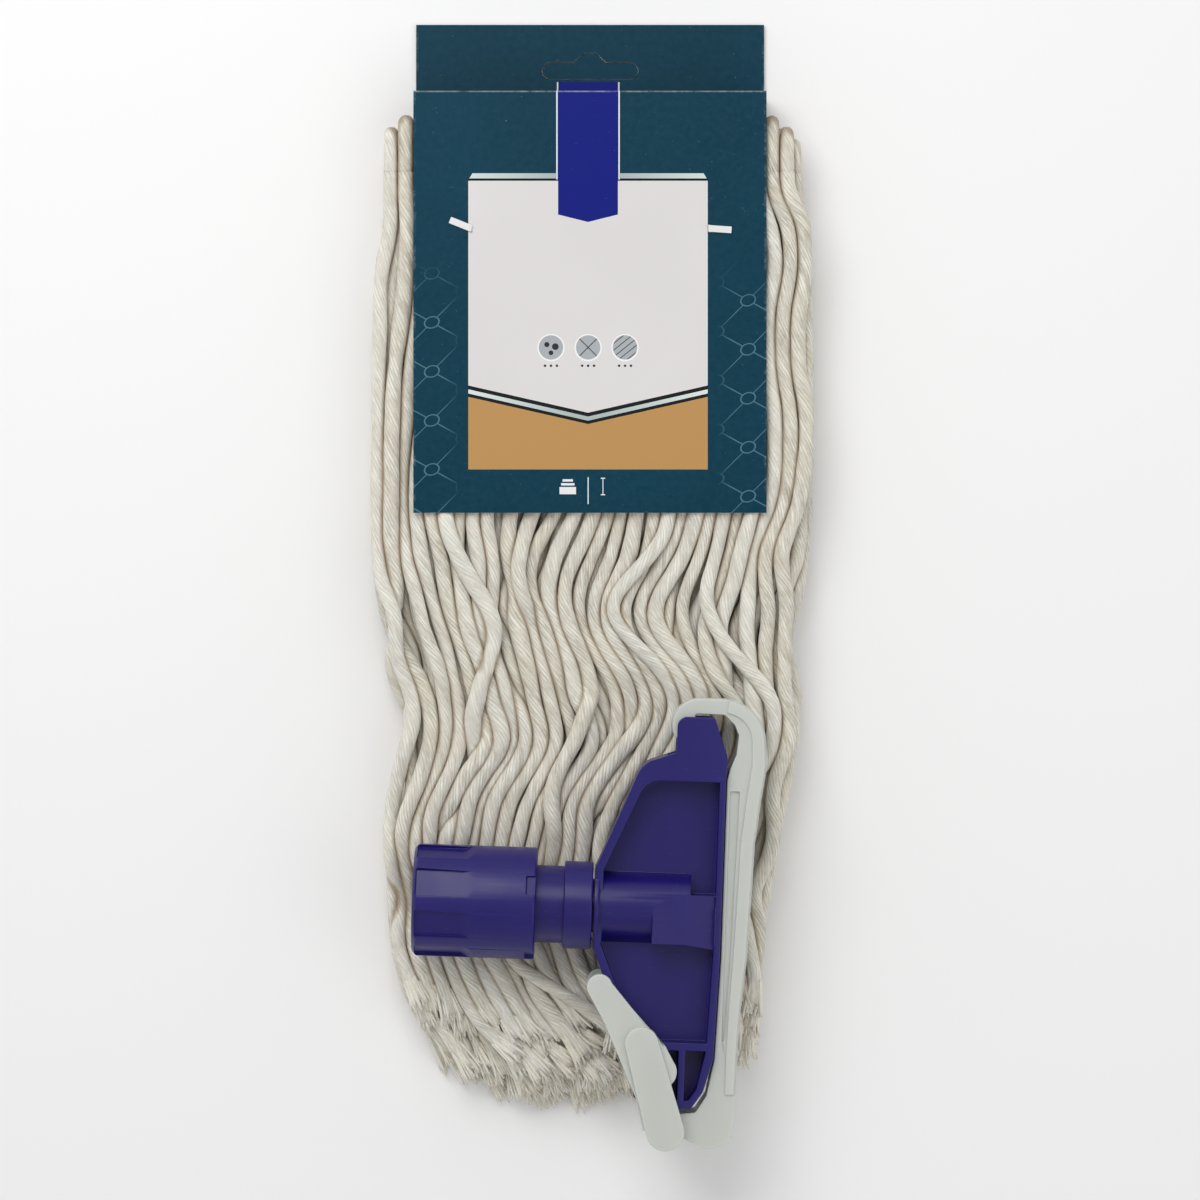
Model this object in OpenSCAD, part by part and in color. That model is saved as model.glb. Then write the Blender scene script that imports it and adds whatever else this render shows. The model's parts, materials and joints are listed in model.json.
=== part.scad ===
// Cut-end string mop head with its hanging card and its plastic mop holder, lying flat on its back.
// X runs across the head, Y along the strands towards the hanging tab, and Z up from the floor.
// The origin is the middle of the whole footprint, on the floor.

/* [Overall] */
// Length from the top of the hanging tab to the latch end of the holder
overall_len = 436.4; // [420:1:524]
// Width across the yarn
overall_w = 173.8; // [160:1:210]

/* [Yarn head] */
// Thickness of one layer of strands
layer_t = 5.5; // [4.6:0.1:6.6]
// Gap between one layer of strands and the next
layer_gap = 0.1; // [0.05:0.05:0.2]
// Thickness of the fabric tape sewn round the fold
band_t = 0.8; // [0.5:0.1:1.2]
// Width of the tape along the fold
band_w = 128; // [90:1:134]
// How far the tape reaches down each face of the head
band_leg = 26; // [18:1:32]
// Width of one row of lock stitches on the tape
stitch_w = 0.8; // [0.5:0.1:1.2]

/* [Hanging card] */
// Width of the card
card_w = 136.9; // [110:1:150]
// Thickness of one ply of the card
card_t = 0.5; // [0.4:0.1:0.8]
// Height of the doubled tab above the fold
tab_len = 28.9; // [26:1:40]
// Length of the front and back panels below the fold
panel_len = 163.6; // [140:1:180]
// Distance of the card's middle from the middle of the head, to the left
card_offset = 1.0; // [0:0.5:3]
// Length of the die-cut hanging slot
slot_len = 37.4; // [32:0.1:40]
// Height of the straight part of the hanging slot
slot_h = 6.4; // [5:0.1:8]
// Rise of the middle hump of the hanging slot
slot_hump = 3.6; // [2.5:0.1:5]
// Width of the knife cut round the slot flap
cut_w = 0.3; // [0.2:0.05:0.5]
// Width of the plastic tie strap
strap_w = 2.6; // [2:0.1:4]
// Thickness of the plastic tie strap
strap_t = 0.6; // [0.4:0.1:0.8]
// Distance between the two slits that the strap comes out of
strap_span = 92.2; // [70:0.1:100]
// Length of each folded end of the strap
strap_end = 9; // [7:0.5:12]

/* [Holder] */
// Turn of the holder on the head, clockwise seen from above
holder_tilt = 2; // [0:0.5:4]
// Distance of the socket mouth of the frame from the middle of the head
holder_x = 1.4; // [-4:0.1:6]
// Half thickness of the frame
frame_half = 12; // [10:0.5:13]
// Thickness of the web inside the frame
web_t = 3; // [2:0.5:5]
// Thickness of each hinge cheek of the horn
cheek_t = 2.5; // [2:0.1:3]
// Outer radius of the frame's socket tube
tube_r = 13.5; // [12.5:0.1:14.5]
// Length of the frame's socket tube
tube_len = 36; // [30:1:40]
// Where the gusset beside the tube starts, measured along the tube
gusset_start = 21.5; // [18:0.5:26]
// How far the gusset reaches to the side of the tube's middle
gusset_w = 13.2; // [10:0.2:14]
// Half thickness of the gusset at its low end
gusset_low = 10.6; // [8:0.2:12]

/* [Socket and collar] */
// Radius of the socket bore that takes the handle
handle_bore_r = 12.3; // [11:0.1:12.5]
// Radius of the sleeve's threaded part
thread_r = 15.4; // [14.8:0.1:16]
// Radius of the sleeve's plain neck
neck_r = 14.8; // [14:0.1:15.2]
// Radius of the sleeve's stop ring
ring_r = 16.8; // [16:0.1:18]
// Radius of the sleeve's spigot inside the frame
spigot_r = 10.3; // [9:0.1:11]
// Outer radius of the collar nut
nut_r = 21.5; // [20:0.1:24]
// Length of the collar nut
nut_len = 47; // [40:1:54]
// Depth of the finger flutes
flute_depth = 2; // [1:0.1:2.4]
// Number of finger flutes round the collar nut
flute_count = 8; // [6:1:10]

/* [Gate and latch] */
// Radius of the gate's hinge pin
gate_pin_r = 2.5; // [2:0.1:3]
// Radius of the lever's hinge pin
lever_pin_r = 2; // [1.6:0.1:2.4]
// Half thickness of the gate
gate_half = 9.2; // [8:0.1:9.2]
// Thickness of the lever's front plate
lever_front_t = 2.5; // [2:0.1:3]
// Thickness of the lever's back plate
lever_back_t = 2.3; // [2:0.1:3]
// Rise of the thumb bar on the lever's front plate
thumb_bar_t = 2.5; // [1.5:0.1:3.5]

/* [Hidden] */
$fn = 64;

blue = [0.17, 0.13, 0.46];
milk = [0.84, 0.87, 0.84];
cotton = [0.86, 0.84, 0.78];
teal = [0.07, 0.27, 0.35];
steel = [0.7, 0.72, 0.75];

// Layers of strands in the folded head, which each have a node of their own
layer_count = 5;

// Clearances: a shaft that turns, a pin that is pressed in, parts that slide past, and soft parts
run_fit = 0.06;
press_gap = 0.02;
side_gap = 0.3;
soft_gap = 0.3;
slit_gap = 0.15;
// The collar backs off by one pitch in one full turn
thread_pitch = 4;
collar_travel = thread_pitch;
over = 0.5;

// The head and the card, stacked up from the floor
pile_h = layer_count * layer_t + (layer_count - 1) * layer_gap;
strap_z = strap_t;
back_z = strap_z + 0.2;
front_z = pile_h + soft_gap + 0.1;
fold_y = overall_len / 2 - tab_len;
card_bottom_y = fold_y - panel_len;
pile_top_y = fold_y - card_t - soft_gap;
fold_past_band = 4;
fold_block_len = max(band_leg + fold_past_band, pile_h + 2);
band_top_y = pile_top_y;
layer_top_y = pile_top_y - fold_block_len - soft_gap;
tip_inset = 5.4;
pile_bottom_y = tip_inset - overall_len / 2;
strap_drop = 53.4;
strap_y = fold_y - strap_drop;
slot_rise = 7.6;
slot_y = fold_y + slot_rise;

// The holder, resting on the strands by the lever's back plate, with its collar sunk between them
lever_back = frame_half + side_gap + lever_back_t;
holder_z = pile_h + soft_gap + lever_back;
latch_reach = 92.6;
holder_y = latch_reach - overall_len / 2;

// Points of the holder that several pieces share, in its own plane
gate_pin_at = [37.2, 65.8];
lever_pin_at = [29.3, -84.3];
frame_edge = 48;
rim_w = 3.4;
nut_end = -23.2;
nut_start = nut_end - nut_len;
ring_start = -12.5;
sleeve_end = -1.5;
socket_floor = -4;
thread_start = nut_start + 20;
spigot_end = 24;
relief_r = 13.6;
gate_knuckle_r = 5.6;
lever_knuckle_r = 4.6;
fork_r = 7.3;
bridge_r = 6.8;
bead_at = 13.5;
bead_rise = 0.55;
ring_back = thread_start - 8;
ring_land_r = 14.6;
cone_r = 14.1;

function arc(centre, r, from, to, steps = 10) =
    [for (i = [0:steps]) let (a = from + (to - from) * i / steps) centre + r * [cos(a), sin(a)]];

// Outline of a round-ended bar between two circles
function bar_outline(a, ra, b, rb) =
    let (dir = atan2(b[1] - a[1], b[0] - a[0]), lean = asin((ra - rb) / norm(b - a)))
    concat(arc(a, ra, dir + 90 - lean, dir + 270 + lean, 14),
        arc(b, rb, dir - 90 + lean, dir + 90 - lean, 14));

module in_holder() {
    translate([holder_x, holder_y, holder_z])
        rotate([0, 0, -holder_tilt])
            children();
}

// A slab of the holder between two heights, from an outline in its plane
module slab(z0, z1) {
    translate([0, 0, z0])
        linear_extrude(z1 - z0)
            children();
}

// A turned solid on the socket's axis, from a profile of axial place and radius
module turned(profile) {
    rotate([0, 90, 0])
        rotate([0, 0, 90])
            rotate_extrude()
                polygon([for (p = profile) [p[1], p[0]]]);
}

module rod(x0, x1, r) {
    translate([x0, 0, 0])
        rotate([0, 90, 0])
            cylinder(h = x1 - x0, r = r);
}

// ---- Yarn head ----

// Edges of the pile: share of the pile's length from its top, and share of half the width
left_edge = [[0.07, 0.965], [0.3, 0.985], [0.46, 1], [0.56, 0.96], [0.615, 0.915], [0.645, 0.9],
    [0.7, 0.94], [0.79, 0.957], [0.84, 0.925], [0.88, 0.875], [0.9, 0.78], [0.95, 0.66], [0.985, 0.52]];
right_edge = [[0.985, 0.66], [0.96, 0.7], [0.92, 0.725], [0.79, 0.79], [0.71, 0.86], [0.66, 0.925],
    [0.6, 0.955], [0.53, 0.985], [0.4, 1], [0.2, 0.99], [0.07, 0.97]];
bottom_edge = [[1, -0.3], [1, 0.03], [0.99, 0.3], [1, 0.48]];

function pile_point(along, across) =
    [across * overall_w / 2, layer_top_y - (along - 0.07) / 0.93 * (layer_top_y - pile_bottom_y)];

pile_outline = concat([for (p = left_edge) pile_point(p[0], -p[1])],
    [for (p = bottom_edge) pile_point(p[0], p[1])],
    [for (p = right_edge) pile_point(p[0], p[1])]);

// How far short of the longest strands each layer stops, from the floor up
layer_short = [0, 5, 12, 22, 46];

function layer_z(i) = i * (layer_t + layer_gap);

// The hollow that the collar and the sleeve press into the strands
module collar_hollow() {
    in_holder() {
        rod(nut_start - collar_travel - 1.2, nut_end + 1.2, nut_r + 0.7);
        translate([nut_start - collar_travel - 1.2, -nut_r - 0.7, 0])
            cube([nut_len + collar_travel + 2.4, 2 * nut_r + 1.4, nut_r]);
        rod(nut_end, 2, ring_r + 0.7);
        translate([nut_end, -ring_r - 0.7, 0])
            cube([2 - nut_end, 2 * ring_r + 1.4, nut_r]);
    }
}

// Upright holes for the two legs of the strap, wider than the strap by a gap on each side
module strap_holes(gap_x, gap_y, z0, z1) {
    wide = strap_t + 2 * gap_x;
    deep = strap_w + 2 * gap_y;
    for (side = [-1, 1])
        translate([side * strap_span / 2 - card_offset - wide / 2, strap_y - deep / 2, z0])
            cube([wide, deep, z1 - z0]);
}

module yarn_layer(i) {
    color(cotton)
        difference() {
            translate([0, 0, layer_z(i)])
                linear_extrude(layer_t)
                    polygon(pile_outline);
            translate([-overall_w, pile_bottom_y - over, layer_z(i) - over])
                cube([2 * overall_w, layer_short[i] + over, layer_t + 2 * over]);
            strap_holes(soft_gap, soft_gap, layer_z(i) - over, layer_z(i) + layer_t + over);
            if (i == 0)
                translate([-card_w / 2 - card_offset - 1, card_bottom_y - 1, -over])
                    cube([card_w + 2, panel_len, over + back_z + card_t + soft_gap]);
            if (layer_z(i) + layer_t > holder_z - nut_r - 0.7)
                collar_hollow();
        }
}

module yarn_fold() {
    low = back_z + card_t + soft_gap + band_t + soft_gap;
    high = pile_h - band_t - soft_gap;
    round_r = (high - low) / 2;
    width = overall_w - 8;
    color(cotton)
        union() {
            translate([-width / 2, pile_top_y - fold_block_len, low])
                cube([width, fold_block_len - band_t - soft_gap - round_r, high - low]);
            translate([-width / 2, pile_top_y - band_t - soft_gap - round_r, low + round_r])
                rotate([0, 90, 0])
                    cylinder(h = width, r = round_r);
        }
}

module head_band() {
    low = back_z + card_t + soft_gap;
    height = pile_h - low;
    color("white")
        difference() {
            translate([-band_w / 2 - card_offset, band_top_y - band_leg, low])
                cube([band_w, band_leg, height]);
            translate([-band_w / 2 - card_offset - over, band_top_y - band_leg - over, low + band_t])
                cube([band_w + 2 * over, band_leg + over - band_t, height - 2 * band_t]);
        }
}

module band_stitching() {
    color("white")
        for (row = [6, band_leg - 4])
            translate([-band_w / 2 - card_offset + 2, band_top_y - row - stitch_w / 2, pile_h])
                cube([band_w - 4, stitch_w, soft_gap - 0.05]);
}

// ---- Hanging card ----

// Outline of the hanging slot, grown or shrunk by an amount, lying along X with its base on y = 0
function slot_outline(grow) =
    let (r = slot_h / 2 + grow, reach = slot_len / 2 - slot_h / 2, base = 6.2 + grow, crown = 2.4)
    concat(arc([reach, slot_h / 2], r, -90, 90, 12),
        [[base, slot_h + grow], [crown, slot_h + slot_hump + grow],
        [-crown, slot_h + slot_hump + grow], [-base, slot_h + grow]],
        arc([-reach, slot_h / 2], r, 90, 270, 12));

module header_card() {
    color(teal)
        translate([-card_offset, 0, 0])
            difference() {
                union() {
                    translate([-card_w / 2, fold_y - card_t, back_z])
                        cube([card_w, tab_len + card_t, 2 * card_t]);
                    translate([-card_w / 2, card_bottom_y, back_z])
                        cube([card_w, panel_len, card_t]);
                    translate([-card_w / 2, fold_y - card_t, back_z])
                        cube([card_w, card_t, front_z + card_t - back_z]);
                    translate([-card_w / 2, card_bottom_y, front_z])
                        cube([card_w, panel_len, card_t]);
                }
                translate([0, slot_y, back_z - over])
                    linear_extrude(2 * card_t + 2 * over)
                        polygon(slot_outline(cut_w));
                translate([card_offset, 0, 0])
                    strap_holes(slit_gap, slit_gap, back_z - over, front_z + card_t + over);
            }
}

module slot_flap() {
    color(teal)
        translate([-card_offset, slot_y, back_z])
            linear_extrude(2 * card_t)
                polygon(slot_outline(0));
}

module tie_strap() {
    top = front_z + card_t + 0.15;
    color([0.93, 0.93, 0.94])
        translate([-card_offset, strap_y, 0])
            union() {
                translate([-strap_span / 2 - strap_t / 2, -strap_w / 2, 0])
                    cube([strap_span + strap_t, strap_w, strap_t]);
                for (side = [-1, 1])
                    translate([side * strap_span / 2, 0, 0]) {
                        translate([-strap_t / 2, -strap_w / 2, 0])
                            cube([strap_t, strap_w, top + strap_t]);
                        translate([0, 0, top])
                            rotate([0, 0, side < 0 ? 158 : -4])
                                translate([-0.2, -strap_w / 2, 0])
                                    cube([strap_end, strap_w, strap_t]);
                    }
            }
}

// ---- Holder frame ----

// Outer outline of the frame, from the socket up over the horn, down the gate edge and round the tail
frame_outline = concat(
    [[-0.5, 0], [-0.5, 15.6]],
    arc([23.2, 48], 9.7, 157, 106, 6),
    [[28.7, 60.3]],
    arc([32.6, 70.2], 3.9, 180, 100, 6),
    [[42.3, 74.1], [43.2, 73.2], [48, 59.6], [frame_edge + 0.5, 56.9], [frame_edge, 52]],
    [[frame_edge, -18], [frame_edge - 1.2, -56.3], [43.2, -69.1], [38.9, -75.5], [33.5, -75.9], [20.4, -76.1],
    [16.7, -71.6], [14.4, -54]],
    [[-0.5, -15.6]]);

// Open recesses in both faces of the frame, each running down to the web
upper_pocket = concat([[2.4, 14.5]], arc([22.9, 41.2], 8.1, 157, 90, 6),
    [[frame_edge - 2.4, 49.3], [frame_edge - 2.4, 6], [tube_len - 1.5, 6], [tube_len - 1.5, 2], [2.4, 2]]);
lower_pocket = [[2.4, -2], [2.4, -14.5], [17.2, -50.5], [frame_edge - 4, -50.5], [frame_edge - 2.6, -14.9],
    [30, -12.6], [gusset_start + 1, -12.6], [gusset_start + 1, -2]];
tail_pocket = [[18, -53.5], [33.4, -53.5], [33.4, -72.6], [21.8, -72.9], [19.9, -70.4]];
tail_pocket_2 = [[36, -53.5], [frame_edge - 4.2, -53.5], [40.6, -68.2], [37.6, -72.6], [36, -72.6]];

module pockets(z0, z1) {
    for (outline = [upper_pocket, lower_pocket, tail_pocket, tail_pocket_2])
        slab(z0, z1)
            polygon(outline);
}

module clip_frame() {
    color(blue)
        in_holder()
            difference() {
                union() {
                    difference() {
                        slab(-frame_half, frame_half)
                            polygon(frame_outline);
                        pockets(web_t / 2, frame_half + over);
                        pockets(-frame_half - over, -web_t / 2);
                    }
                    rod(-0.5, tube_len, tube_r);
                    rod(-0.8, 1, 16);
                    gusset_block();
                }
                above_gusset();
                socket_seat();
                translate([gate_pin_at[0], gate_pin_at[1], -frame_half + cheek_t])
                    cylinder(h = 2 * (frame_half - cheek_t), r = relief_r);
                translate([gate_pin_at[0], gate_pin_at[1], -frame_half - over])
                    cylinder(h = 2 * frame_half + over - 0.8, r = gate_pin_r + press_gap);
            }
}

// Gusset beside the tube, before its two faces are sloped
module gusset_block() {
    half = tube_r - 0.05;
    translate([gusset_start, -gusset_w, -half])
        cube([frame_edge - 2 - gusset_start, gusset_w + 1, 2 * half]);
}

// What lies past the gusset's slopes, which start at the tube's crest and fall towards the gate edge
module above_gusset() {
    for (face = [0, 1])
        mirror([0, 0, face])
            translate([0, tube_r + 1, 0])
                rotate([90, 0, 0])
                    linear_extrude(tube_r + gusset_w + 3)
                        polygon([[gusset_start - 1, tube_r + 0.12], [frame_edge - 2.8, gusset_low],
                            [frame_edge - 2.8, tube_r + 5], [gusset_start - 1, tube_r + 5]]);
}

// Seat for the sleeve's spigot, with the groove that its bead snaps into
module socket_seat() {
    rod(-1.5, spigot_end + 0.4, spigot_r + 0.08);
    groove_r = spigot_r + bead_rise + 0.15;
    turned([[bead_at - 1.6, 0], [bead_at - 1.6, spigot_r], [bead_at - 0.6, groove_r],
        [bead_at + 0.6, groove_r], [bead_at + 1.6, spigot_r], [bead_at + 1.6, 0]]);
}

// ---- Socket and collar ----

module socket_sleeve() {
    color(blue)
        in_holder()
            difference() {
                turned([[thread_start, 0], [thread_start, thread_r - 0.8], [thread_start + 1, thread_r],
                    [nut_end - 2, thread_r], [nut_end - 1.4, neck_r], [ring_start, neck_r],
                    [ring_start, ring_r - 0.4], [ring_start + 0.4, ring_r], [sleeve_end - 0.4, ring_r],
                    [sleeve_end, ring_r - 0.4], [sleeve_end, spigot_r], [bead_at - 1.4, spigot_r],
                    [bead_at - 0.4, spigot_r + bead_rise], [bead_at + 0.4, spigot_r + bead_rise],
                    [bead_at + 1.4, spigot_r], [spigot_end - 1, spigot_r], [spigot_end, spigot_r - 1],
                    [spigot_end, 0]]);
                rod(thread_start - over, socket_floor, handle_bore_r);
                turned([[thread_start - 0.1, 0], [thread_start - 0.1, cone_r + 0.4],
                    [thread_start + 6, handle_bore_r], [thread_start + 6, 0]]);
                rod(0, spigot_end + over, spigot_r - 3);
            }
}

// Split cone ring that the collar pushes into the sleeve's mouth to grip the handle
module clamp_ring() {
    color("white")
        in_holder()
            difference() {
                turned([[ring_back, 0], [ring_back, ring_land_r], [thread_start - 0.6, ring_land_r],
                    [thread_start - 0.6, cone_r], [thread_start + 3.6, cone_r - 1.2],
                    [thread_start + 3.6, 0]]);
                rod(ring_back - 1, thread_start + 5, handle_bore_r);
                translate([ring_back - 1, -0.8, 0])
                    cube([14, 1.6, 16]);
            }
}

module collar_nut() {
    flute_end = nut_start + 25;
    flat_r = nut_r - flute_depth;
    color(blue)
        in_holder()
            difference() {
                turned([[nut_start, 0], [nut_start, nut_r - 1.6], [nut_start + 1.6, nut_r],
                    [nut_end - 0.6, nut_r], [nut_end, nut_r - 0.6], [nut_end, 0]]);
                rod(ring_back - side_gap, nut_end + over, thread_r + 0.1);
                rod(nut_start - over, ring_back, handle_bore_r + 0.5);
                turned([[nut_start - 0.1, 0], [nut_start - 0.1, handle_bore_r + 2.6],
                    [nut_start + 2, handle_bore_r + 0.5], [nut_start + 2, 0]]);
                for (i = [0:flute_count - 1])
                    rotate([i * 360 / flute_count + 22.5, 0, 0]) {
                        // Flat-bottomed flute that runs out on a slope towards the plain belt
                        rotate([90, 0, 0])
                            linear_extrude(10.6, center = true)
                                polygon([[nut_start + 1.2, flat_r], [flute_end - 6, flat_r],
                                    [flute_end, nut_r + over], [nut_start + 1.2, nut_r + over]]);
                        if (i % 2 == 1)
                            translate([nut_end - 3.6, -3.8, nut_r - 1.6])
                                cube([3.6 + over, 7.6, 3]);
                    }
            }
}

// ---- Gate and latch ----

// Outside of the gate, from the foot of its hook over the horn and down to the latch end
gate_outer = concat(
    arc([37.2, 70.8], 10.4, 205, 90, 10),
    arc([46.5, 64.9], 16.3, 90, 3, 10),
    [[63.5, 56], [61.6, 42], [59.9, 26], [59.5, 12], [58.4, -18], [56.6, -38], [55.9, -56], [55.8, -70]],
    arc([46.4, -82], 9, 0, -118, 8),
    [[36.3, -87.4], [29.3, -87.4]]);

// Inside of the gate, from the latch end back up to the foot of the hook
gate_inner = concat(
    [[29.3, -80.2], [31.6, -78.2], [40.6, -77.2], [44.6, -70.6], [frame_edge - 0.8, -56.4],
    [frame_edge + 0.4, -18], [frame_edge + 0.4, 50], [49.4, 54.6], [51.6, 60], [52.3, 67.6], [50.6, 71.4]],
    [[46.6, 75.2], [35.6, 75.2], [34.6, 70], [34, 62.4]],
    [[31.4, 64.2]]);

// Raised ridge along the gate's outer side, a small step in from its edge
ridge_step = 0.7;
gate_ridge = concat(
    arc([46.5, 64.9], 16.3 - ridge_step, 84, 3, 10),
    [[63.5 - ridge_step, 56], [61.6 - ridge_step, 42], [59.9 - ridge_step, 26], [59.5 - ridge_step, 12],
    [58.4 - ridge_step, -18], [56.6 - ridge_step, -38], [55.9 - ridge_step, -56], [55.8 - ridge_step, -70]],
    [[51.6, -70], [51.6, -56], [52, -38], [53, -18], [54, 12], [54.4, 26], [56, 42], [57.8, 56]],
    arc([46.5, 64.9], 11, 3, 84, 10));

module gate() {
    color(milk)
        in_holder()
            difference() {
                union() {
                    slab(-gate_half, gate_half)
                        polygon(concat(gate_outer, gate_inner));
                    slab(-gate_half - 1, gate_half + 1)
                        polygon(gate_ridge);
                    translate([gate_pin_at[0], gate_pin_at[1], -gate_half])
                        cylinder(h = 2 * gate_half, r = gate_knuckle_r);
                    translate([lever_pin_at[0], lever_pin_at[1], -frame_half])
                        cylinder(h = 2 * frame_half, r = lever_knuckle_r);
                }
                translate([gate_pin_at[0], gate_pin_at[1], -frame_half])
                    cylinder(h = 2 * frame_half, r = gate_pin_r + run_fit);
                translate([lever_pin_at[0], lever_pin_at[1], -frame_half - over])
                    cylinder(h = 2 * (frame_half + over), r = lever_pin_r + run_fit);
                gate_grooves();
            }
}

// Shallow moulded channel down both faces of the gate's inner flange
module gate_grooves() {
    for (face = [0, 1])
        mirror([0, 0, face])
            slab(gate_half - 1.2, gate_half + over)
                polygon([[frame_edge + 1.8, 46], [frame_edge + 1.8, -50], [50.6, -50], [52, -18], [52.6, 12],
                    [53, 26], [53.4, 46]]);
}

module gate_pin() {
    color(steel)
        in_holder()
            translate([gate_pin_at[0], gate_pin_at[1], -frame_half + 0.2])
                cylinder(h = 2 * frame_half - 1.2, r = gate_pin_r);
}

// Flat outline of the lever's two plates
lever_plate = concat(
    arc([2.4, -30], 4.9, 200, 20, 12),
    [[16, -38.8], [28.4, -51.9]],
    arc([26.4, -61.6], 6.6, 40, -50, 6),
    [[30.4, -84.3], [20.6, -84.3], [17.5, -71.6], [9.7, -54.5], [4.9, -44.1]]);
thumb_bar = bar_outline([19.2, -51], 6.4, lever_pin_at, fork_r);

module latch_lever() {
    inner = frame_half + side_gap;
    color(milk)
        in_holder()
            difference() {
                union() {
                    slab(inner, inner + lever_front_t)
                        polygon(lever_plate);
                    slab(inner, inner + lever_front_t + thumb_bar_t)
                        polygon(thumb_bar);
                    slab(-inner - lever_back_t, -inner) {
                        polygon(lever_plate);
                        polygon(thumb_bar);
                    }
                    // Bridge that joins the two plates behind the pin, set in from their edge
                    slab(-inner, inner)
                        polygon(concat(arc(lever_pin_at, bridge_r, 125, 225, 8),
                            arc(lever_pin_at, lever_knuckle_r + 0.5, 225, 125, 8)));
                }
                translate([lever_pin_at[0], lever_pin_at[1], -inner - lever_back_t - over])
                    cylinder(h = 2 * inner + lever_back_t + lever_front_t + over,
                        r = lever_pin_r + press_gap);
            }
}

module lever_pin() {
    inner = frame_half + side_gap;
    color(steel)
        in_holder()
            translate([lever_pin_at[0], lever_pin_at[1], -inner - lever_back_t + 0.2])
                cylinder(h = 2 * inner + lever_back_t + lever_front_t - 0.4, r = lever_pin_r);
}

head_band();
band_stitching();
yarn_fold();
yarn_layer(0);  // yarn_layer_1
yarn_layer(1);  // yarn_layer_2
yarn_layer(2);  // yarn_layer_3
yarn_layer(3);  // yarn_layer_4
yarn_layer(4);  // yarn_layer_5
header_card();
slot_flap();
tie_strap();
clip_frame();
socket_sleeve();
clamp_ring();
collar_nut();
gate();
gate_pin();
latch_lever();
lever_pin();
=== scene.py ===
"""Cotton string mop head folded into a hanging card, with its plastic holder lying on the strands."""

import json
import math
from functools import partialmethod
from types import SimpleNamespace

import bpy
import numpy as np
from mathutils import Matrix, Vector


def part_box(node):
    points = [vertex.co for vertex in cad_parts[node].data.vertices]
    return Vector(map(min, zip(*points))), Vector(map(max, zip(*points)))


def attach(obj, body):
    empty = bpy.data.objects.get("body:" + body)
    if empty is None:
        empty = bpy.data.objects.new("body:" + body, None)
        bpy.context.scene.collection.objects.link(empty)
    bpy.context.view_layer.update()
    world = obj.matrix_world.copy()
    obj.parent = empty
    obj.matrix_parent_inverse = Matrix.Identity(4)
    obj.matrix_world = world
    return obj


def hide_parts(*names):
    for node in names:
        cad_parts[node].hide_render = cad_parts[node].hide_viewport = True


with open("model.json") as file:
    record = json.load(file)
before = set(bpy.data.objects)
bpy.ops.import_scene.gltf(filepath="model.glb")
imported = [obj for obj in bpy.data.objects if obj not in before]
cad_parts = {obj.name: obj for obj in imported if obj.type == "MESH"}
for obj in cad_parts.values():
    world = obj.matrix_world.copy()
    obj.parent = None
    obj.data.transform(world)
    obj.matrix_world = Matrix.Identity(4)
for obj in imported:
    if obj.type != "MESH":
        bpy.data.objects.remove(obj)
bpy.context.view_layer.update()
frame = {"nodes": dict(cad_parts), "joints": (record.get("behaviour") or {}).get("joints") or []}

bl_info = {
    "name": "String Mop",
    "version": (1, 0, 0),
    "blender": (4, 5, 0),
    "location": "3D View > Sidebar > String Mop",
    "description": "Builds a cotton string mop head, its hanging card and its plastic holder",
    "category": "Add Mesh",
}

MM = 0.001
NODES = frame["nodes"]
JOINTS = {joint["name"]: joint for joint in frame["joints"]}

# The holder's own plane: u runs along its socket from the collar to the frame, v across it
COLLAR_TO_MOUTH = 40 * MM
SOCKET_AXIS = Vector(JOINTS["collar_turn"]["axis"])
ACROSS_AXIS = Vector((-SOCKET_AXIS.y, SOCKET_AXIS.x, 0))
SOCKET_MOUTH = Vector(JOINTS["collar_turn"]["pos_m"]) + COLLAR_TO_MOUTH * SOCKET_AXIS
COLLAR_LOW, COLLAR_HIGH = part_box("collar_nut")
COLLAR_R = (COLLAR_HIGH.z - COLLAR_LOW.z) / 2
COLLAR_START_U = -75.0 * MM
COLLAR_END_U = -22.8 * MM
RING_END_U = 0.5 * MM
RING_R = 16.8 * MM
CARD_LOW, CARD_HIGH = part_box("header_card")
FLAP_LOW, FLAP_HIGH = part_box("slot_flap")
BAND_LOW, BAND_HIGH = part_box("head_band")
STRAP_LOW, STRAP_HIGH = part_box("tie_strap")
LAYER_TOP_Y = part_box("yarn_layer_1")[1].y
PILE_TOP_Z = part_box("yarn_layer_5")[1].z
SLOT_TO_FOLD = 7.6 * MM
CARD_FOLD_Y = JOINTS["flap_fold"]["pos_m"][1] - SLOT_TO_FOLD
CARD_MID_X = (CARD_LOW.x + CARD_HIGH.x) / 2


# ---- Sizes and colours that a user would change ----


def amount(name, description, default, **more):
    return bpy.props.FloatProperty(name=name, description=description, default=default, **more)


def length(*entry):
    return amount(*entry, unit="LENGTH", precision=5)


def share(*entry):
    return amount(*entry, subtype="FACTOR")


def whole(name, description, default):
    return bpy.props.IntProperty(name=name, description=description, default=default)


def colour(name, description, default):
    return bpy.props.FloatVectorProperty(
        name=name, description=description, default=default, subtype="COLOR", min=0.0, max=1.0
    )


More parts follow.
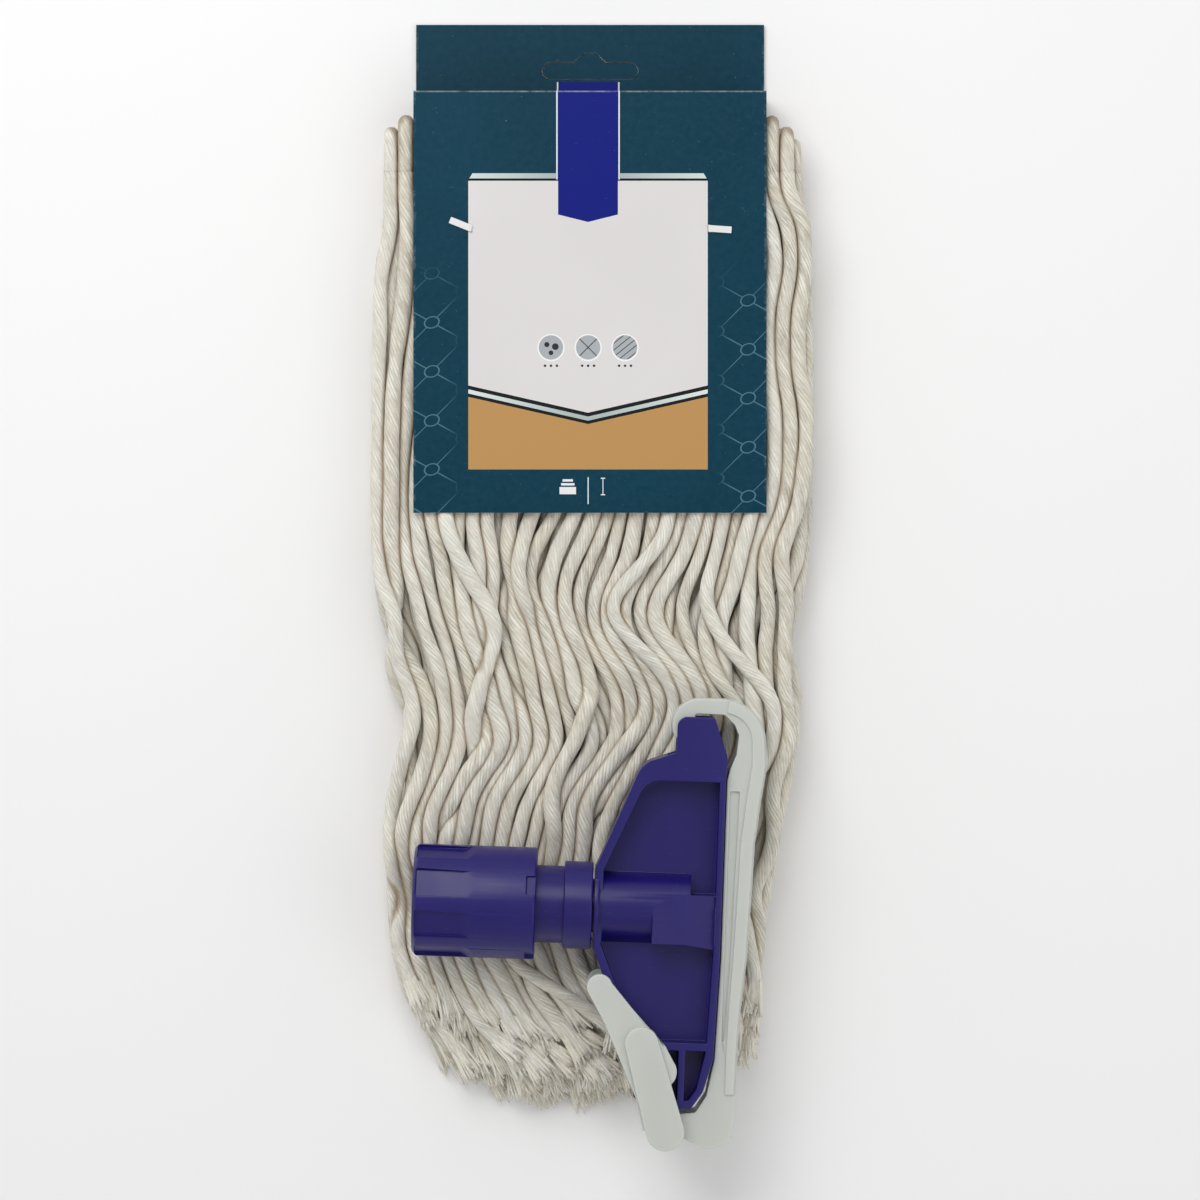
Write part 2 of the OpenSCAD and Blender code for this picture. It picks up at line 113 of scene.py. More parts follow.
class YarnSettings(bpy.types.PropertyGroup):
    """Cotton strands of the head"""

    strand_radius: length("Strand radius", "Radius of one cotton strand", 3.0 * MM)
    columns: whole("Columns", "Strands side by side in one layer", 28)
    sway: length("Sway", "How far the strands swing from side to side", 8.2 * MM)
    wander: length("Wander", "How far one strand strays from its neighbours", 2.3 * MM)
    plies: whole("Plies", "Plies twisted into one strand", 6)
    relief: share("Relief", "Depth of the grooves between plies, as a share of the radius", 0.07)
    pitch: length("Twist pitch", "Length of one full turn of the twist", 62 * MM)
    cotton: colour("Cotton", "Natural cotton", (0.86, 0.835, 0.755))
    # Painted shade: shaded and loose are the colours painted into the gaps between fibres and the furrows
    # between plies, of twisted and of loose strands
    shaded: colour("Shaded cotton", "Cotton between the fibres", (0.43, 0.385, 0.29))
    loose: colour("Loose cotton", "Cotton between the fibres of a loose thread", (0.70, 0.64, 0.51))
    # Painted shade: this colour is shade painted into the gaps where strands lie against each other
    gap_shade: colour("Crevice", "Cotton deep between two strands", (0.33, 0.235, 0.125))


class CardSettings(bpy.types.PropertyGroup):
    """Printed hanging card"""

    ground: colour("Ground", "Dark ground colour of the card", (0.0, 0.042, 0.074))
    ribbon: colour("Ribbon", "Printed ribbon", (0.004, 0.010, 0.195))
    label: colour("Label", "Printed label", (0.72, 0.70, 0.69))
    lower: colour("Lower panel", "Panel below the label", (0.50, 0.28, 0.10))
    silver: colour("Silver", "Printed silver lines", (0.38, 0.46, 0.46))
    linework: colour("Linework", "Thin pale net at the sides", (0.10, 0.22, 0.28))
    core: colour("Core", "Bare edge of the card", (0.70, 0.69, 0.66))


class HolderSettings(bpy.types.PropertyGroup):
    """Moulded plastic holder"""

    edge: length("Edge radius", "Width of the moulded edges", 0.35 * MM)
    blue: colour("Blue plastic", "Frame, sleeve and collar", (0.010, 0.005, 0.130))
    milk: colour("Milky plastic", "Gate and lever", (0.575, 0.60, 0.555))
    white: colour("White plastic", "Clamp ring and strap", (0.80, 0.80, 0.79))
    steel: colour("Steel", "Hinge pins", (0.55, 0.56, 0.58))


class StageSettings(bpy.types.PropertyGroup):
    """Floor, light and camera"""

    floor: colour("Floor", "Pale floor", (0.93, 0.93, 0.93))
    camera_height: length("Camera height", "Height of the camera above the floor", 1.8)
    view_angle: amount("View angle", "Angle of view", math.radians(14.96), subtype="ANGLE")
    key_power: amount("Key light", "Power of the key light", 10.0)
    fill_power: amount("Fill light", "Power of the fill light", 3.0)
    sky: amount("Sky", "Strength of the even light", 0.62)


# ---- Finishes ----


class Value:
    """A shader socket that Python expressions can work on"""

    def __init__(self, finish, socket):
        self.finish = finish
        self.socket = socket

    def maths(self, operation, *others):
        sockets = dict(enumerate((self, *others)))
        return self.finish.field("ShaderNodeMath", {"operation": operation}, sockets)

    def __rsub__(self, other):
        return self.finish.field("ShaderNodeMath", {"operation": "SUBTRACT"}, {0: other, 1: self})

    __add__ = __radd__ = partialmethod(maths, "ADD")
    __sub__ = partialmethod(maths, "SUBTRACT")
    __mul__ = partialmethod(maths, "MULTIPLY")
    __truediv__ = partialmethod(maths, "DIVIDE")
    __mod__ = partialmethod(maths, "FLOORED_MODULO")
    __pow__ = partialmethod(maths, "POWER")
    __gt__ = partialmethod(maths, "GREATER_THAN")
    __lt__ = partialmethod(maths, "LESS_THAN")
    __abs__ = partialmethod(maths, "ABSOLUTE")


def either(*masks):
    """Mask of what lies in any of these masks"""
    whole = masks[0]
    for mask in masks[1:]:
        whole = whole.maths("MAXIMUM", mask)
    return whole


class Finish:
    """A material made from nodes"""

    def __init__(self, name, **fixed):
        self.material = bpy.data.materials.new(name)
        self.material.use_nodes = True
        self.tree = self.material.node_tree
        self.tree.nodes.clear()
        self.shader = self.node("ShaderNodeBsdfPrincipled", {}, fixed)
        output = self.node("ShaderNodeOutputMaterial")
        self.tree.links.new(self.shader.outputs[0], output.inputs["Surface"])

    def node(self, kind, settings=None, sockets=None):
        """One node: its settings first, then the values or links of its sockets"""
        made = self.tree.nodes.new(kind)
        for key, value in (settings or {}).items():
            setattr(made, key, value)
        for key, value in (sockets or {}).items():
            if isinstance(value, Value):
                self.tree.links.new(value.socket, made.inputs[key])
            else:
                made.inputs[key].default_value = value
        return made

    def field(self, kind, settings=None, sockets=None, out=0):
        return Value(self, self.node(kind, settings, sockets).outputs[out])

    def place(self):
        """The three Object coordinates"""
        made = self.node("ShaderNodeTexCoord")
        self.where = Value(self, made.outputs["Object"])
        split = self.node("ShaderNodeSeparateXYZ", {}, {0: self.where})
        return [Value(self, socket) for socket in split.outputs]

    def stretch(self, *scale):
        return self.field("ShaderNodeVectorMath", {"operation": "MULTIPLY"}, {0: self.where, 1: scale})

    def noise(self, scale, detail=3.0, roughness=0.5, vector=None):
        sockets = {"Scale": scale, "Detail": detail, "Roughness": roughness}
        sockets["Vector"] = vector or self.where
        return self.field("ShaderNodeTexNoise", {}, sockets)

    def span(self, value, low, high, to_low=0.0, to_high=1.0):
        """Value between low and high, spread over a new range and kept inside it"""
        sockets = {0: value, 1: low, 2: high, 3: to_low, 4: to_high}
        return self.field("ShaderNodeMapRange", {"clamp": True}, sockets)

    def blend(self, factor, under, over):
        """Colour that goes from one to the other as the factor rises"""
        pick = {"data_type": "RGBA", "blend_type": "MIX", "clamp_factor": True}
        ready = [c if isinstance(c, Value) else (*c, 1.0) for c in (under, over)]
        return self.field("ShaderNodeMix", pick, {0: factor, 6: ready[0], 7: ready[1]}, out=2)

    def feed(self, **links):
        """Varying values into the shader: colour, roughness and a bump height"""
        for key, value in links.items():
            if key == "bump":
                height, strength, distance = value
                sockets = {"Height": height, "Strength": strength, "Distance": distance}
                value = self.field("ShaderNodeBump", {}, sockets)
                key = "Normal"
            name = key.replace("_", " ")
            self.tree.links.new(value.socket, self.shader.inputs[name])
        return self.material


def darker(shade, keep):
    """The shade with only this share of its light"""
    return tuple(part * keep for part in shade)


def cotton_finish(yarn, name, between, fibre_angle, fibres, furrow, bump):
    """Cotton with fine fibres at an angle on the strand's map, and furrows between twisted threads; painted
    shade darkens the gaps between fibres and the furrows
    """
    finish = Finish(
        name,
        **{"Roughness": 0.92, "Sheen Weight": 0.25, "Sheen Roughness": 0.5, "Specular IOR Level": 0.25},
    )
    finish.place()
    uv = finish.field("ShaderNodeUVMap", {"uv_map": "Strand"})
    split = finish.node("ShaderNodeSeparateXYZ", {}, {0: uv})
    around, along = (Value(finish, split.outputs[axis]) for axis in (0, 1))
    tone = finish.field("ShaderNodeAttribute", {"attribute_name": "tone"}, out=2)
    lay = around - along * fibre_angle
    fine_place = {0: lay * fibres, 1: along * 1.5, 2: tone * 40.0}
    fibre = finish.noise(1.5, 4.0, 0.65, finish.field("ShaderNodeCombineXYZ", {}, fine_place))
    coarse_place = {0: lay * fibres * 0.4, 1: along * 0.35, 2: tone * 17.0}
    coarse = finish.noise(1.0, 2.0, 0.5, finish.field("ShaderNodeCombineXYZ", {}, coarse_place))
    slub = finish.noise(55.0, 3.0, 0.6)
    fleck = finish.noise(900.0, 2.0, 0.6)
    # Painted shade: depth falls to the between colour in the gaps between fibres, and the ridge term darkens
    # the furrows between plies
    depth = finish.span(fibre * 0.65 + coarse * 0.35, 0.33, 0.55)
    if furrow:
        ripple = (lay + (coarse - 0.5) * 0.05) * (math.pi * YARN_THREADS)
        ridge = finish.span(abs(ripple.maths("SINE")), 0.05, 0.7, 1.0 - furrow, 1.0)
        depth = depth * ridge
    base = finish.blend(depth, between, yarn.cotton)
    warm = tuple(c * s for c, s in zip(yarn.cotton, (0.93, 0.89, 0.78)))
    pale = tuple(min(1.0, c * s) for c, s in zip(yarn.cotton, (1.08, 1.10, 1.14)))
    base = finish.blend(finish.span(slub, 0.35, 0.7, 0.0, 0.45), base, warm)
    base = finish.blend(finish.span(tone, 0.4, 1.0, 0.0, 0.4), base, pale)
    seed_husk = (0.20, 0.14, 0.08)
    base = finish.blend(finish.span(fleck, 0.74, 0.80, 0.0, 0.55), base, seed_husk)
    # Painted shade: warm brown darkening where a point lies close to other strands
    gap_shade_amount = finish.field("ShaderNodeAttribute", {"attribute_name": "gap_shade_amount"}, out=2)
    base = finish.blend(finish.span(gap_shade_amount, 0.2, 1.0, 0.0, 0.85), base, yarn.gap_shade)
    rough = finish.span(fibre, 0.3, 0.7, 0.98, 0.86)
    return finish.feed(Base_Color=base, Roughness=rough, bump=(depth, bump, 0.3 * MM))


def woven_finish(name, thread, ground, pitch):
    """Plain woven tape, with painted shade in the gaps between its threads"""
    finish = Finish(name, **{"Roughness": 0.85, "Sheen Weight": 0.2})
    x, y, z = finish.place()
    turn = math.pi / pitch
    warp = abs((x * turn).maths("SINE"))
    weft = abs(((y + z) * turn).maths("SINE"))
    check = ((x / pitch).maths("FLOOR") + ((y + z) / pitch).maths("FLOOR")) % 2.0
    weave = warp * check + weft * (1.0 - check)
    dust = finish.noise(120.0)
    # Painted shade: the weave mask gives the thread colour on each thread's crest and the darker ground
    # colour in the gaps between threads
    base = finish.blend(finish.span(weave, 0.1, 0.9), ground, thread)
    base = finish.blend(finish.span(dust, 0.45, 0.75, 0.0, 0.25), base, ground)
    rough = finish.span(dust, 0.3, 0.7, 0.95, 0.8)
    return finish.feed(Base_Color=base, Roughness=rough, bump=(weave, 0.6, 0.2 * MM))


def moulded_finish(name, base, roughness, mottle, **fixed):
    """Moulded plastic with a fine skin, faint flow marks and light scuffs"""
    finish = Finish(name, **{"Roughness": roughness, "Specular IOR Level": 0.4, **fixed})
    finish.place()
    skin = finish.noise(2600.0, 2.0, 0.6)
    flow = finish.noise(60.0, 3.0, 0.55, finish.stretch(1.0, 0.25, 1.0))
    scuff = finish.noise(190.0, 4.0, 0.7, finish.stretch(1.0, 7.0, 2.0))
    worn = finish.span(scuff, 0.62, 0.74)
    lighter = tuple(c + (0.55 - c) * mottle for c in base)
    tint = finish.blend(finish.span(flow, 0.3, 0.7), darker(base, 1.0 - mottle), base)
    tint = finish.blend(worn * 0.35, tint, lighter)
    rough = finish.span(flow, 0.25, 0.75, roughness - 0.06, roughness + 0.06) + worn * 0.16
    return finish.feed(
        Base_Color=tint, Roughness=rough, bump=(skin * 0.6 + scuff * 0.4, 0.16, 0.12 * MM)
    )


def steel_finish(name, base):
    """Ground steel pin with turning marks"""
    finish = Finish(name, **{"Metallic": 1.0})
    finish.place()
    ring = finish.noise(900.0, 3.0, 0.6, finish.stretch(0.2, 0.2, 9.0))
    tint = finish.blend(ring, darker(base, 0.8), base)
    rough = finish.span(ring, 0.2, 0.8, 0.22, 0.42)
    return finish.feed(Base_Color=tint, Roughness=rough, bump=(ring, 0.2, 0.05 * MM))


def pulp_finish(name, scale, detail, under, over, bump, flecks=0.0):
    """Bare paper pulp of the card, with dark flecks if wanted"""
    finish = Finish(name)
    finish.place()
    pulp = finish.noise(scale, detail, 0.7)
    tint = finish.blend(pulp, under, over)
    if flecks:
        fleck = finish.noise(2200.0, 2.0, 0.6)
        tint = finish.blend(finish.span(fleck, 0.68, 0.74, 0.0, flecks), tint, (0.15, 0.14, 0.12))
    rough = finish.span(pulp, 0.2, 0.8, 0.8, 0.95)
    return finish.feed(Base_Color=tint, Roughness=rough, bump=(pulp, bump, 0.1 * MM))


def card_print_finish(card):
    """Printed face of the card: ribbon, label, lower panel, symbols and a thin net at the sides"""
    finish = Finish("card print", **{"Roughness": 0.4, "Specular IOR Level": 0.12})
    x, y, z = finish.place()

    # In millimetres: x from the card's middle, y down from its fold
    x = (x - CARD_MID_X) / MM
    y = (CARD_FOLD_Y - y) / MM
    front = z > (FLAP_LOW.z + FLAP_HIGH.z) / 2
    wide = abs(x + 0.75)
    panel_half, panel_top, panel_end, band_start = 46.4, 34.9, 146.8, 124.8
    ribbon_half, ribbon_start, bar_top, bar_end, symbol_y = 11.6, -6.4, 32.0, 34.0, 99.5
    worn_core = (0.52, 0.60, 0.62)

    def within(value, low, high):
        return (value > low) * (value < high)

    def box(left, right, top, bottom):
        return within(x, left, right) * within(y, top, bottom)

    def disc(centre_x, centre_y, radius):
        return ((x - centre_x) ** 2.0 + (y - centre_y) ** 2.0) < radius * radius

    def stroke(slope, offset):
        return abs(x + y * slope - offset) < 0.25

    grain = finish.noise(420.0, 4.0, 0.6)
    soft = finish.noise(16.0, 2.0, 0.5)
    patch = finish.span(soft, 0.3, 0.7)
    ground = finish.blend(patch, darker(card.ground, 0.82), card.ground)
    ground = finish.blend(finish.span(grain, 0.35, 0.75, 0.0, 0.1), ground, (0.05, 0.12, 0.17))

    # Net of thin lines with small rings, only beside the label
    cell, knot_r = 19.0, 0.17
    near_lean = abs((x + y) / cell % 1.0 - 0.5)
    near_fall = abs((x * 0.55 - y) / cell % 1.0 - 0.5)
    line = either(near_lean < 0.011, near_fall < 0.013)
    knot = (near_lean**2.0 + (near_fall * 1.1) ** 2.0) ** 0.5
    hoop = abs(knot - knot_r) < 0.016
    beside = finish.span(wide, 50.0, 56.0) * finish.span(y, 66.0, 84.0)
    net = either(line * (knot > knot_r), hoop) * beside
    layers = [(net * 0.75, card.linework)]

    # Label and lower panel, parted by a dark and silver band that points down at the middle
    band = y - (band_start - wide * 0.2275)
    body = (wide < panel_half) * within(y, panel_top, panel_end)
    silver = finish.blend(finish.span(wide, 5.0, 46.0, 0.35, 1.0), (0.24, 0.33, 0.33), (0.72, 0.78, 0.76))
    layers += [
        (body * (band < 0.0), finish.blend(patch, darker(card.label, 0.96), card.label)),
        (body * within(band, 0.0, 4.4), (0.010, 0.012, 0.014)),
        (body * within(band, 1.5, 3.1), silver),
        (body * (band > 4.4), card.lower),
    ]

    # Bars over the label on both sides of the ribbon, with a dark line under them, then the ribbon that comes
    # over the fold with a fine line down each side
    bars = within(y, bar_top, bar_end) * (wide > 12.4) * (wide < 46.0 + (y - bar_end) * 0.6)
    tails = (abs(wide - 12.05) < 0.28) * within(y, ribbon_start, 34.4)
    ribbon = (wide < ribbon_half) * (y > ribbon_start) * (y < 50.9 - wide * 0.25)
    layers += [
        ((wide < panel_half) * within(y, bar_end, panel_top), (0.006, 0.008, 0.012)),
        (bars, finish.blend(finish.span(wide, 12.0, 46.0), card.silver, (0.62, 0.72, 0.68))),
        (tails * front, (0.72, 0.74, 0.76)),
        (ribbon, card.ribbon),
    ]

    # Three round symbols with three dots under each
    for number, centre in enumerate((-15.1, -0.7, 13.6)):
        face = disc(centre, symbol_y, 4.7)
        if number == 0:
            blots = ((-1.6, 98.4, 1.0), (1.7, 99.2, 1.3), (0.0, 101.6, 0.9))
            figure = either(*(disc(centre + aside, down, radius) for aside, down, radius in blots))
        elif number == 1:
            figure = either(stroke(1.0, centre + symbol_y), stroke(-1.0, centre - symbol_y))
        else:
            figure = abs((x * 0.8 + y) % 2.6 - 1.3) < 0.2
        layers += [
            (disc(centre, 99.6, 5.3), (0.86, 0.87, 0.87)),
            (face, (0.40, 0.43, 0.45)),
            (figure * face, (0.03, 0.035, 0.04)),
            (either(*(disc(centre + step, 106.6, 0.5) for step in (-2.3, 0.0, 2.3))), (0.03, 0.03, 0.035)),
        ]

    # Plain signs under the panel: a stepped block, a divider and an upright measure
    signs = (
        (-10.6, -6.6, 150.6, 151.5),
        (-11.2, -6.0, 152.1, 153.0),
        (-11.8, -5.4, 153.6, 156.4),
        (-0.9, -0.5, 149.8, 160.2),
        (4.9, 5.2, 150.2, 156.6),
        (4.2, 5.9, 150.0, 150.4),
        (4.2, 5.9, 156.4, 156.8),
    )
    layers.append((either(*(box(*sign) for sign in signs)), (0.80, 0.82, 0.83)))

    # Wear: the crease at the fold and the card's long edges show a little of the core
    wear = finish.noise(260.0, 5.0, 0.75)
    crease = (abs(y) < 0.55) * (z > CARD_HIGH.z - 0.5 * MM) * finish.span(wear, 0.30, 0.62)
    rub = finish.span(67.9 - abs(x), -0.6, 0.6, 0.7, 0.0) * finish.span(wear, 0.5, 0.7)
    speck = finish.span(finish.noise(1400.0, 2.0, 0.6), 0.74, 0.8) * 0.5
    layers.append((either(crease * front * 0.4, rub * 0.55, speck), worn_core))
    tint = ground
    for mask, shade in layers:
        tint = finish.blend(mask, tint, shade)
    tint = finish.blend(front, finish.blend(either(rub * 0.55, speck), ground, worn_core), tint)
    rough = finish.span(grain, 0.25, 0.75, 0.34, 0.46) + crease * 0.3
    return finish.feed(Base_Color=tint, Roughness=rough, bump=(grain + soft * 2.0, 0.08, 0.15 * MM))


# ---- Hand tools ----


def deselect():
    if bpy.context.object and bpy.context.object.mode != "OBJECT":
        bpy.ops.object.mode_set(mode="OBJECT")
    bpy.ops.object.select_all(action="DESELECT")


def take(*pieces):
    """Select only these pieces, the last one active"""
    deselect()
    for piece in pieces:
        piece.select_set(True)
    bpy.context.view_layer.objects.active = pieces[-1]


def settle_in_mesh(piece):
    """Move a piece's place, turn and size into its mesh"""
    take(piece)
    bpy.ops.object.transform_apply(location=True, rotation=True, scale=True)


def add_modifier(piece, kind, **settings):
    """Add a modifier and apply it at once"""
    take(piece)
    bpy.ops.object.modifier_add(type=kind)
    modifier = piece.modifiers[-1]
    for key, value in settings.items():
        setattr(modifier, key, value)
    bpy.ops.object.modifier_apply(modifier=modifier.name)


def smooth(piece, angle=38):
    """Shade smooth, except over edges sharper than this angle in degrees"""
    take(piece)
    bpy.ops.object.shade_smooth_by_angle(angle=math.radians(angle))


def join(name, pieces):
    take(*pieces)
    bpy.ops.object.join()
    piece = bpy.context.object
    piece.name = name
    return piece


def finish_piece(piece, body, slot, *materials, nodes=()):
    """Hang a finished piece on its body and give it its finishes"""
    for material in materials:
        piece.data.materials.append(material)
    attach(piece, body)
    if nodes:
        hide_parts(*nodes)


def softened_copy(node, name, width):
    """A merged copy of a CAD node whose sharp edges are rounded as a mould leaves them"""
    mesh = NODES[node].data.copy()
    mesh.materials.clear()
    piece = bpy.data.objects.new(name, mesh)
    bpy.context.scene.collection.objects.link(piece)
    take(piece)
    bpy.ops.object.mode_set(mode="EDIT")
    bpy.ops.mesh.select_all(action="SELECT")
    bpy.ops.mesh.remove_doubles(threshold=0.004 * MM)
    bpy.ops.mesh.customdata_custom_splitnormals_clear()
    bpy.ops.object.mode_set(mode="OBJECT")
    if width:
        add_modifier(
            piece,
            "BEVEL",
            width=width,
            segments=2,
            limit_method="ANGLE",
            angle_limit=math.radians(32),
            use_clamp_overlap=False,
            loop_slide=False,
            miter_outer="MITER_ARC",
        )
    smooth(piece)
    if width:
        add_modifier(piece, "WEIGHTED_NORMAL", mode="FACE_AREA", weight=60, keep_sharp=True)
    return piece


def mould(*rows):
    """Softened copies of CAD nodes: node, name, body, material slot, finish and edge width of each. The
    material slot is not used.
    """
    for node, name, body, slot, finish, width in rows:
        finish_piece(softened_copy(node, name, width), body, slot, finish, nodes=(node,))


# ---- Yarn ----

STEP = 4 * MM
LAYERS = 5
PILE_END_Y = -0.2145
QUICK_WAVE = 0.061
UNDER_CARD_Y = CARD_LOW.y - 3 * MM
STRAP_Y = (STRAP_LOW.y + STRAP_HIGH.y) / 2
STRAP_LEGS = (CARD_MID_X - 46.1 * MM, CARD_MID_X + 46.1 * MM)
CROSSING_ROOF = 31 * MM
# How far from other strands the painted shade between strands reaches
GAP_SHADE_REACH = 9 * MM
FOLD_SQUEEZE = 0.88
FOLD_OVERLAP = 1 * MM
LOOSE_END = 15 * MM
UV_LENGTH = 10 * MM
FIBRE_TURN = 0.29
YARN_THREADS = 13
FRAY_THREADS = 26
FRAY_SPLAY = 0.16

# How much of their wander neighbours have together, and how much each strand has alone
TOGETHER, ALONE = 1.9, 1.4

# How the strands settle: turns, turns from one search for neighbours to the next, and the share of the way
# that a strand goes in one turn to its goal, to a straight line and out of a strand that it presses on
TURNS = 170
SEARCH_EVERY = 12
TO_GOAL, TO_STRAIGHT, TO_CLEAR = 0.05, 0.36, 0.42
SINK = 0.08 * MM

# Edges of the pile as pairs of y and x, and the longest tips as pairs of x and y
LEFT_EDGE = (
    (-0.214, -0.052), (-0.200, -0.061), (-0.175, -0.071), (-0.145, -0.079), (-0.090, -0.0825),
    (-0.060, -0.0785), (-0.020, -0.0828), (0.008, -0.0863), (0.100, -0.0860), (0.166, -0.0836),
)
RIGHT_EDGE = (
    (-0.214, 0.058), (-0.197, 0.060), (-0.160, 0.0655), (-0.125, 0.069), (-0.094, 0.0745),
    (-0.070, 0.0797), (-0.047, 0.0828), (-0.025, 0.0776), (-0.004, 0.0835), (0.030, 0.0865),
    (0.166, 0.0850),
)
TIPS = (
    (-0.075, -0.166), (-0.067, -0.172), (-0.059, -0.186), (-0.047, -0.199), (-0.028, -0.206),
    (0.003, -0.207), (0.018, -0.203), (0.040, -0.200), (0.060, -0.194),
)

# For each layer from the floor up: how much shorter its strands are, their share of the full radius, how
# far their tips lean, how much they rise and fall, and the sides and ring spacing of their tubes
SHORTER = np.array((0, 4, 8, 13, 22)) * MM
THINNER = np.array((0.88, 0.88, 0.90, 0.95, 1.0))
LEAN_MM = np.array((2, 3, 5, 7, 8))
RISE = np.array((0, 0, 0.2, 0.6, 1.0))
TUBES = ((12, 4.6 * MM), (10, 5.0 * MM), (12, 4.6 * MM), (16, 3.4 * MM), (20, 2.8 * MM))

# Strands of the top layer that cross over their neighbours: the strand's column, places down the pile, its
# shift there in millimetres, and the stretch in which it lies over the others
CROSSINGS = (
    (22, (0.004, -0.012, -0.030, -0.041, -0.052), (0, 2, 11, 22, 24), (-0.014, -0.046)),
    (18, (0.024, 0.006, -0.010, -0.020, -0.034), (0, -6, -13, -7, 0), (0.014, -0.032)),
    (8, (-0.146, -0.158, -0.172, -0.184, -0.200), (0, 8, 20, 27, 30), (-0.152, -0.190)),
    (5, (0.030, 0.010, -0.012, -0.034, -0.052), (0, 5, 11, 6, 0), (0.022, -0.050)),
    (13, (-0.040, -0.056, -0.072, -0.086, -0.100), (0, -5, -10, -5, 0), (-0.046, -0.098)),
)


def along_edge(edge, y):
    places, widths = zip(*edge)
    return np.interp(y, places, widths)


def smooth_random(rng, rows, columns, reach):
    """Random values that change smoothly down each column"""
    knots = max(4, int(rows / reach) + 3)
    values = rng.standard_normal((knots, columns))
    places = np.linspace(0, knots - 1, rows)
    low = np.clip(places.astype(int), 0, knots - 2)
    part = (places - low)[:, None]
    part = part * part * (3 - 2 * part)
    return values[low] * (1 - part) + values[low + 1] * part


def holder_roof(x, y, radius):
    """Height that a strand's middle must stay under, beneath the card and the holder"""
    roof = np.full(x.shape, PILE_TOP_Z + 3.0 * MM - radius)
    roof = np.where(y > UNDER_CARD_Y, PILE_TOP_Z - radius, roof)
    roof = np.where((y < -0.045) & (x > -0.078) & (x < 0.068), PILE_TOP_Z - 0.1 * MM - radius, roof)
    off_x, off_y = x - SOCKET_MOUTH.x, y - SOCKET_MOUTH.y
    u = off_x * SOCKET_AXIS.x + off_y * SOCKET_AXIS.y
    v = off_x * ACROSS_AXIS.x + off_y * ACROSS_AXIS.y
    for start, end, round_r in (
        (COLLAR_START_U, COLLAR_END_U, COLLAR_R + 0.6 * MM),
        (COLLAR_END_U, RING_END_U, RING_R + 0.5 * MM),
    ):
        clear = round_r + radius
        beyond = np.maximum(np.maximum(start - radius - u, u - end - 0.6 * radius), 0.0)
        dip = SOCKET_MOUTH.z - np.sqrt(np.maximum(clear**2 - v**2, 0.0))
        roof = np.where(abs(v) < clear, np.minimum(roof, dip + 0.8 * beyond), roof)
    return roof


def strand_lattice(yarn):
    """Place of each strand where it enters the sewn fold, layer by layer from the floor up"""
    columns = yarn.columns
    half = (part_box("yarn_fold")[1].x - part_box("yarn_fold")[0].x) / 2 - yarn.strand_radius
    low = BAND_LOW.z + 1.1 * MM + FOLD_SQUEEZE * yarn.strand_radius
    high = BAND_HIGH.z - 1.1 * MM - FOLD_SQUEEZE * yarn.strand_radius
    x, z = [], []
    for layer in range(LAYERS):
        shift = 0.25 if layer % 2 else -0.25
        spread = (np.arange(columns) + 0.5 + shift) / columns * 2 - 1
        x.append(spread * half)
        z.append(np.full(columns, low + (high - low) * layer / (LAYERS - 1)))
    return np.concatenate(x), np.concatenate(z)


def swing_of_strands(y, place, layer):
    """Side swing of every strand, from -1 at the far left to 1 at the far right of its wave"""
    first_left = np.interp(place, (0.0, 0.2, 0.45, 1.0), (0.075, 0.045, -0.006, -0.014))
    first_right = np.interp(place, (0.0, 0.3, 0.55, 1.0), (-0.060, -0.053, -0.043, -0.052))
    second_left = np.interp(place, (0.0, 1.0), (-0.118, -0.104))
    lag = 9 * MM * (LAYERS - 1 - layer)
    swing = np.empty((len(y), len(place)))
    for strand in range(len(place)):
        turns = (first_left[strand], first_right[strand], second_left[strand])
        knots = (turns[2] - 0.06, turns[2], turns[1], turns[0], turns[0] + 0.06)
        swing[:, strand] = np.interp(y + lag[strand], knots, (3.0, 2.0, 1.0, 0.0, -1.0))
    return -np.cos(math.pi * swing)


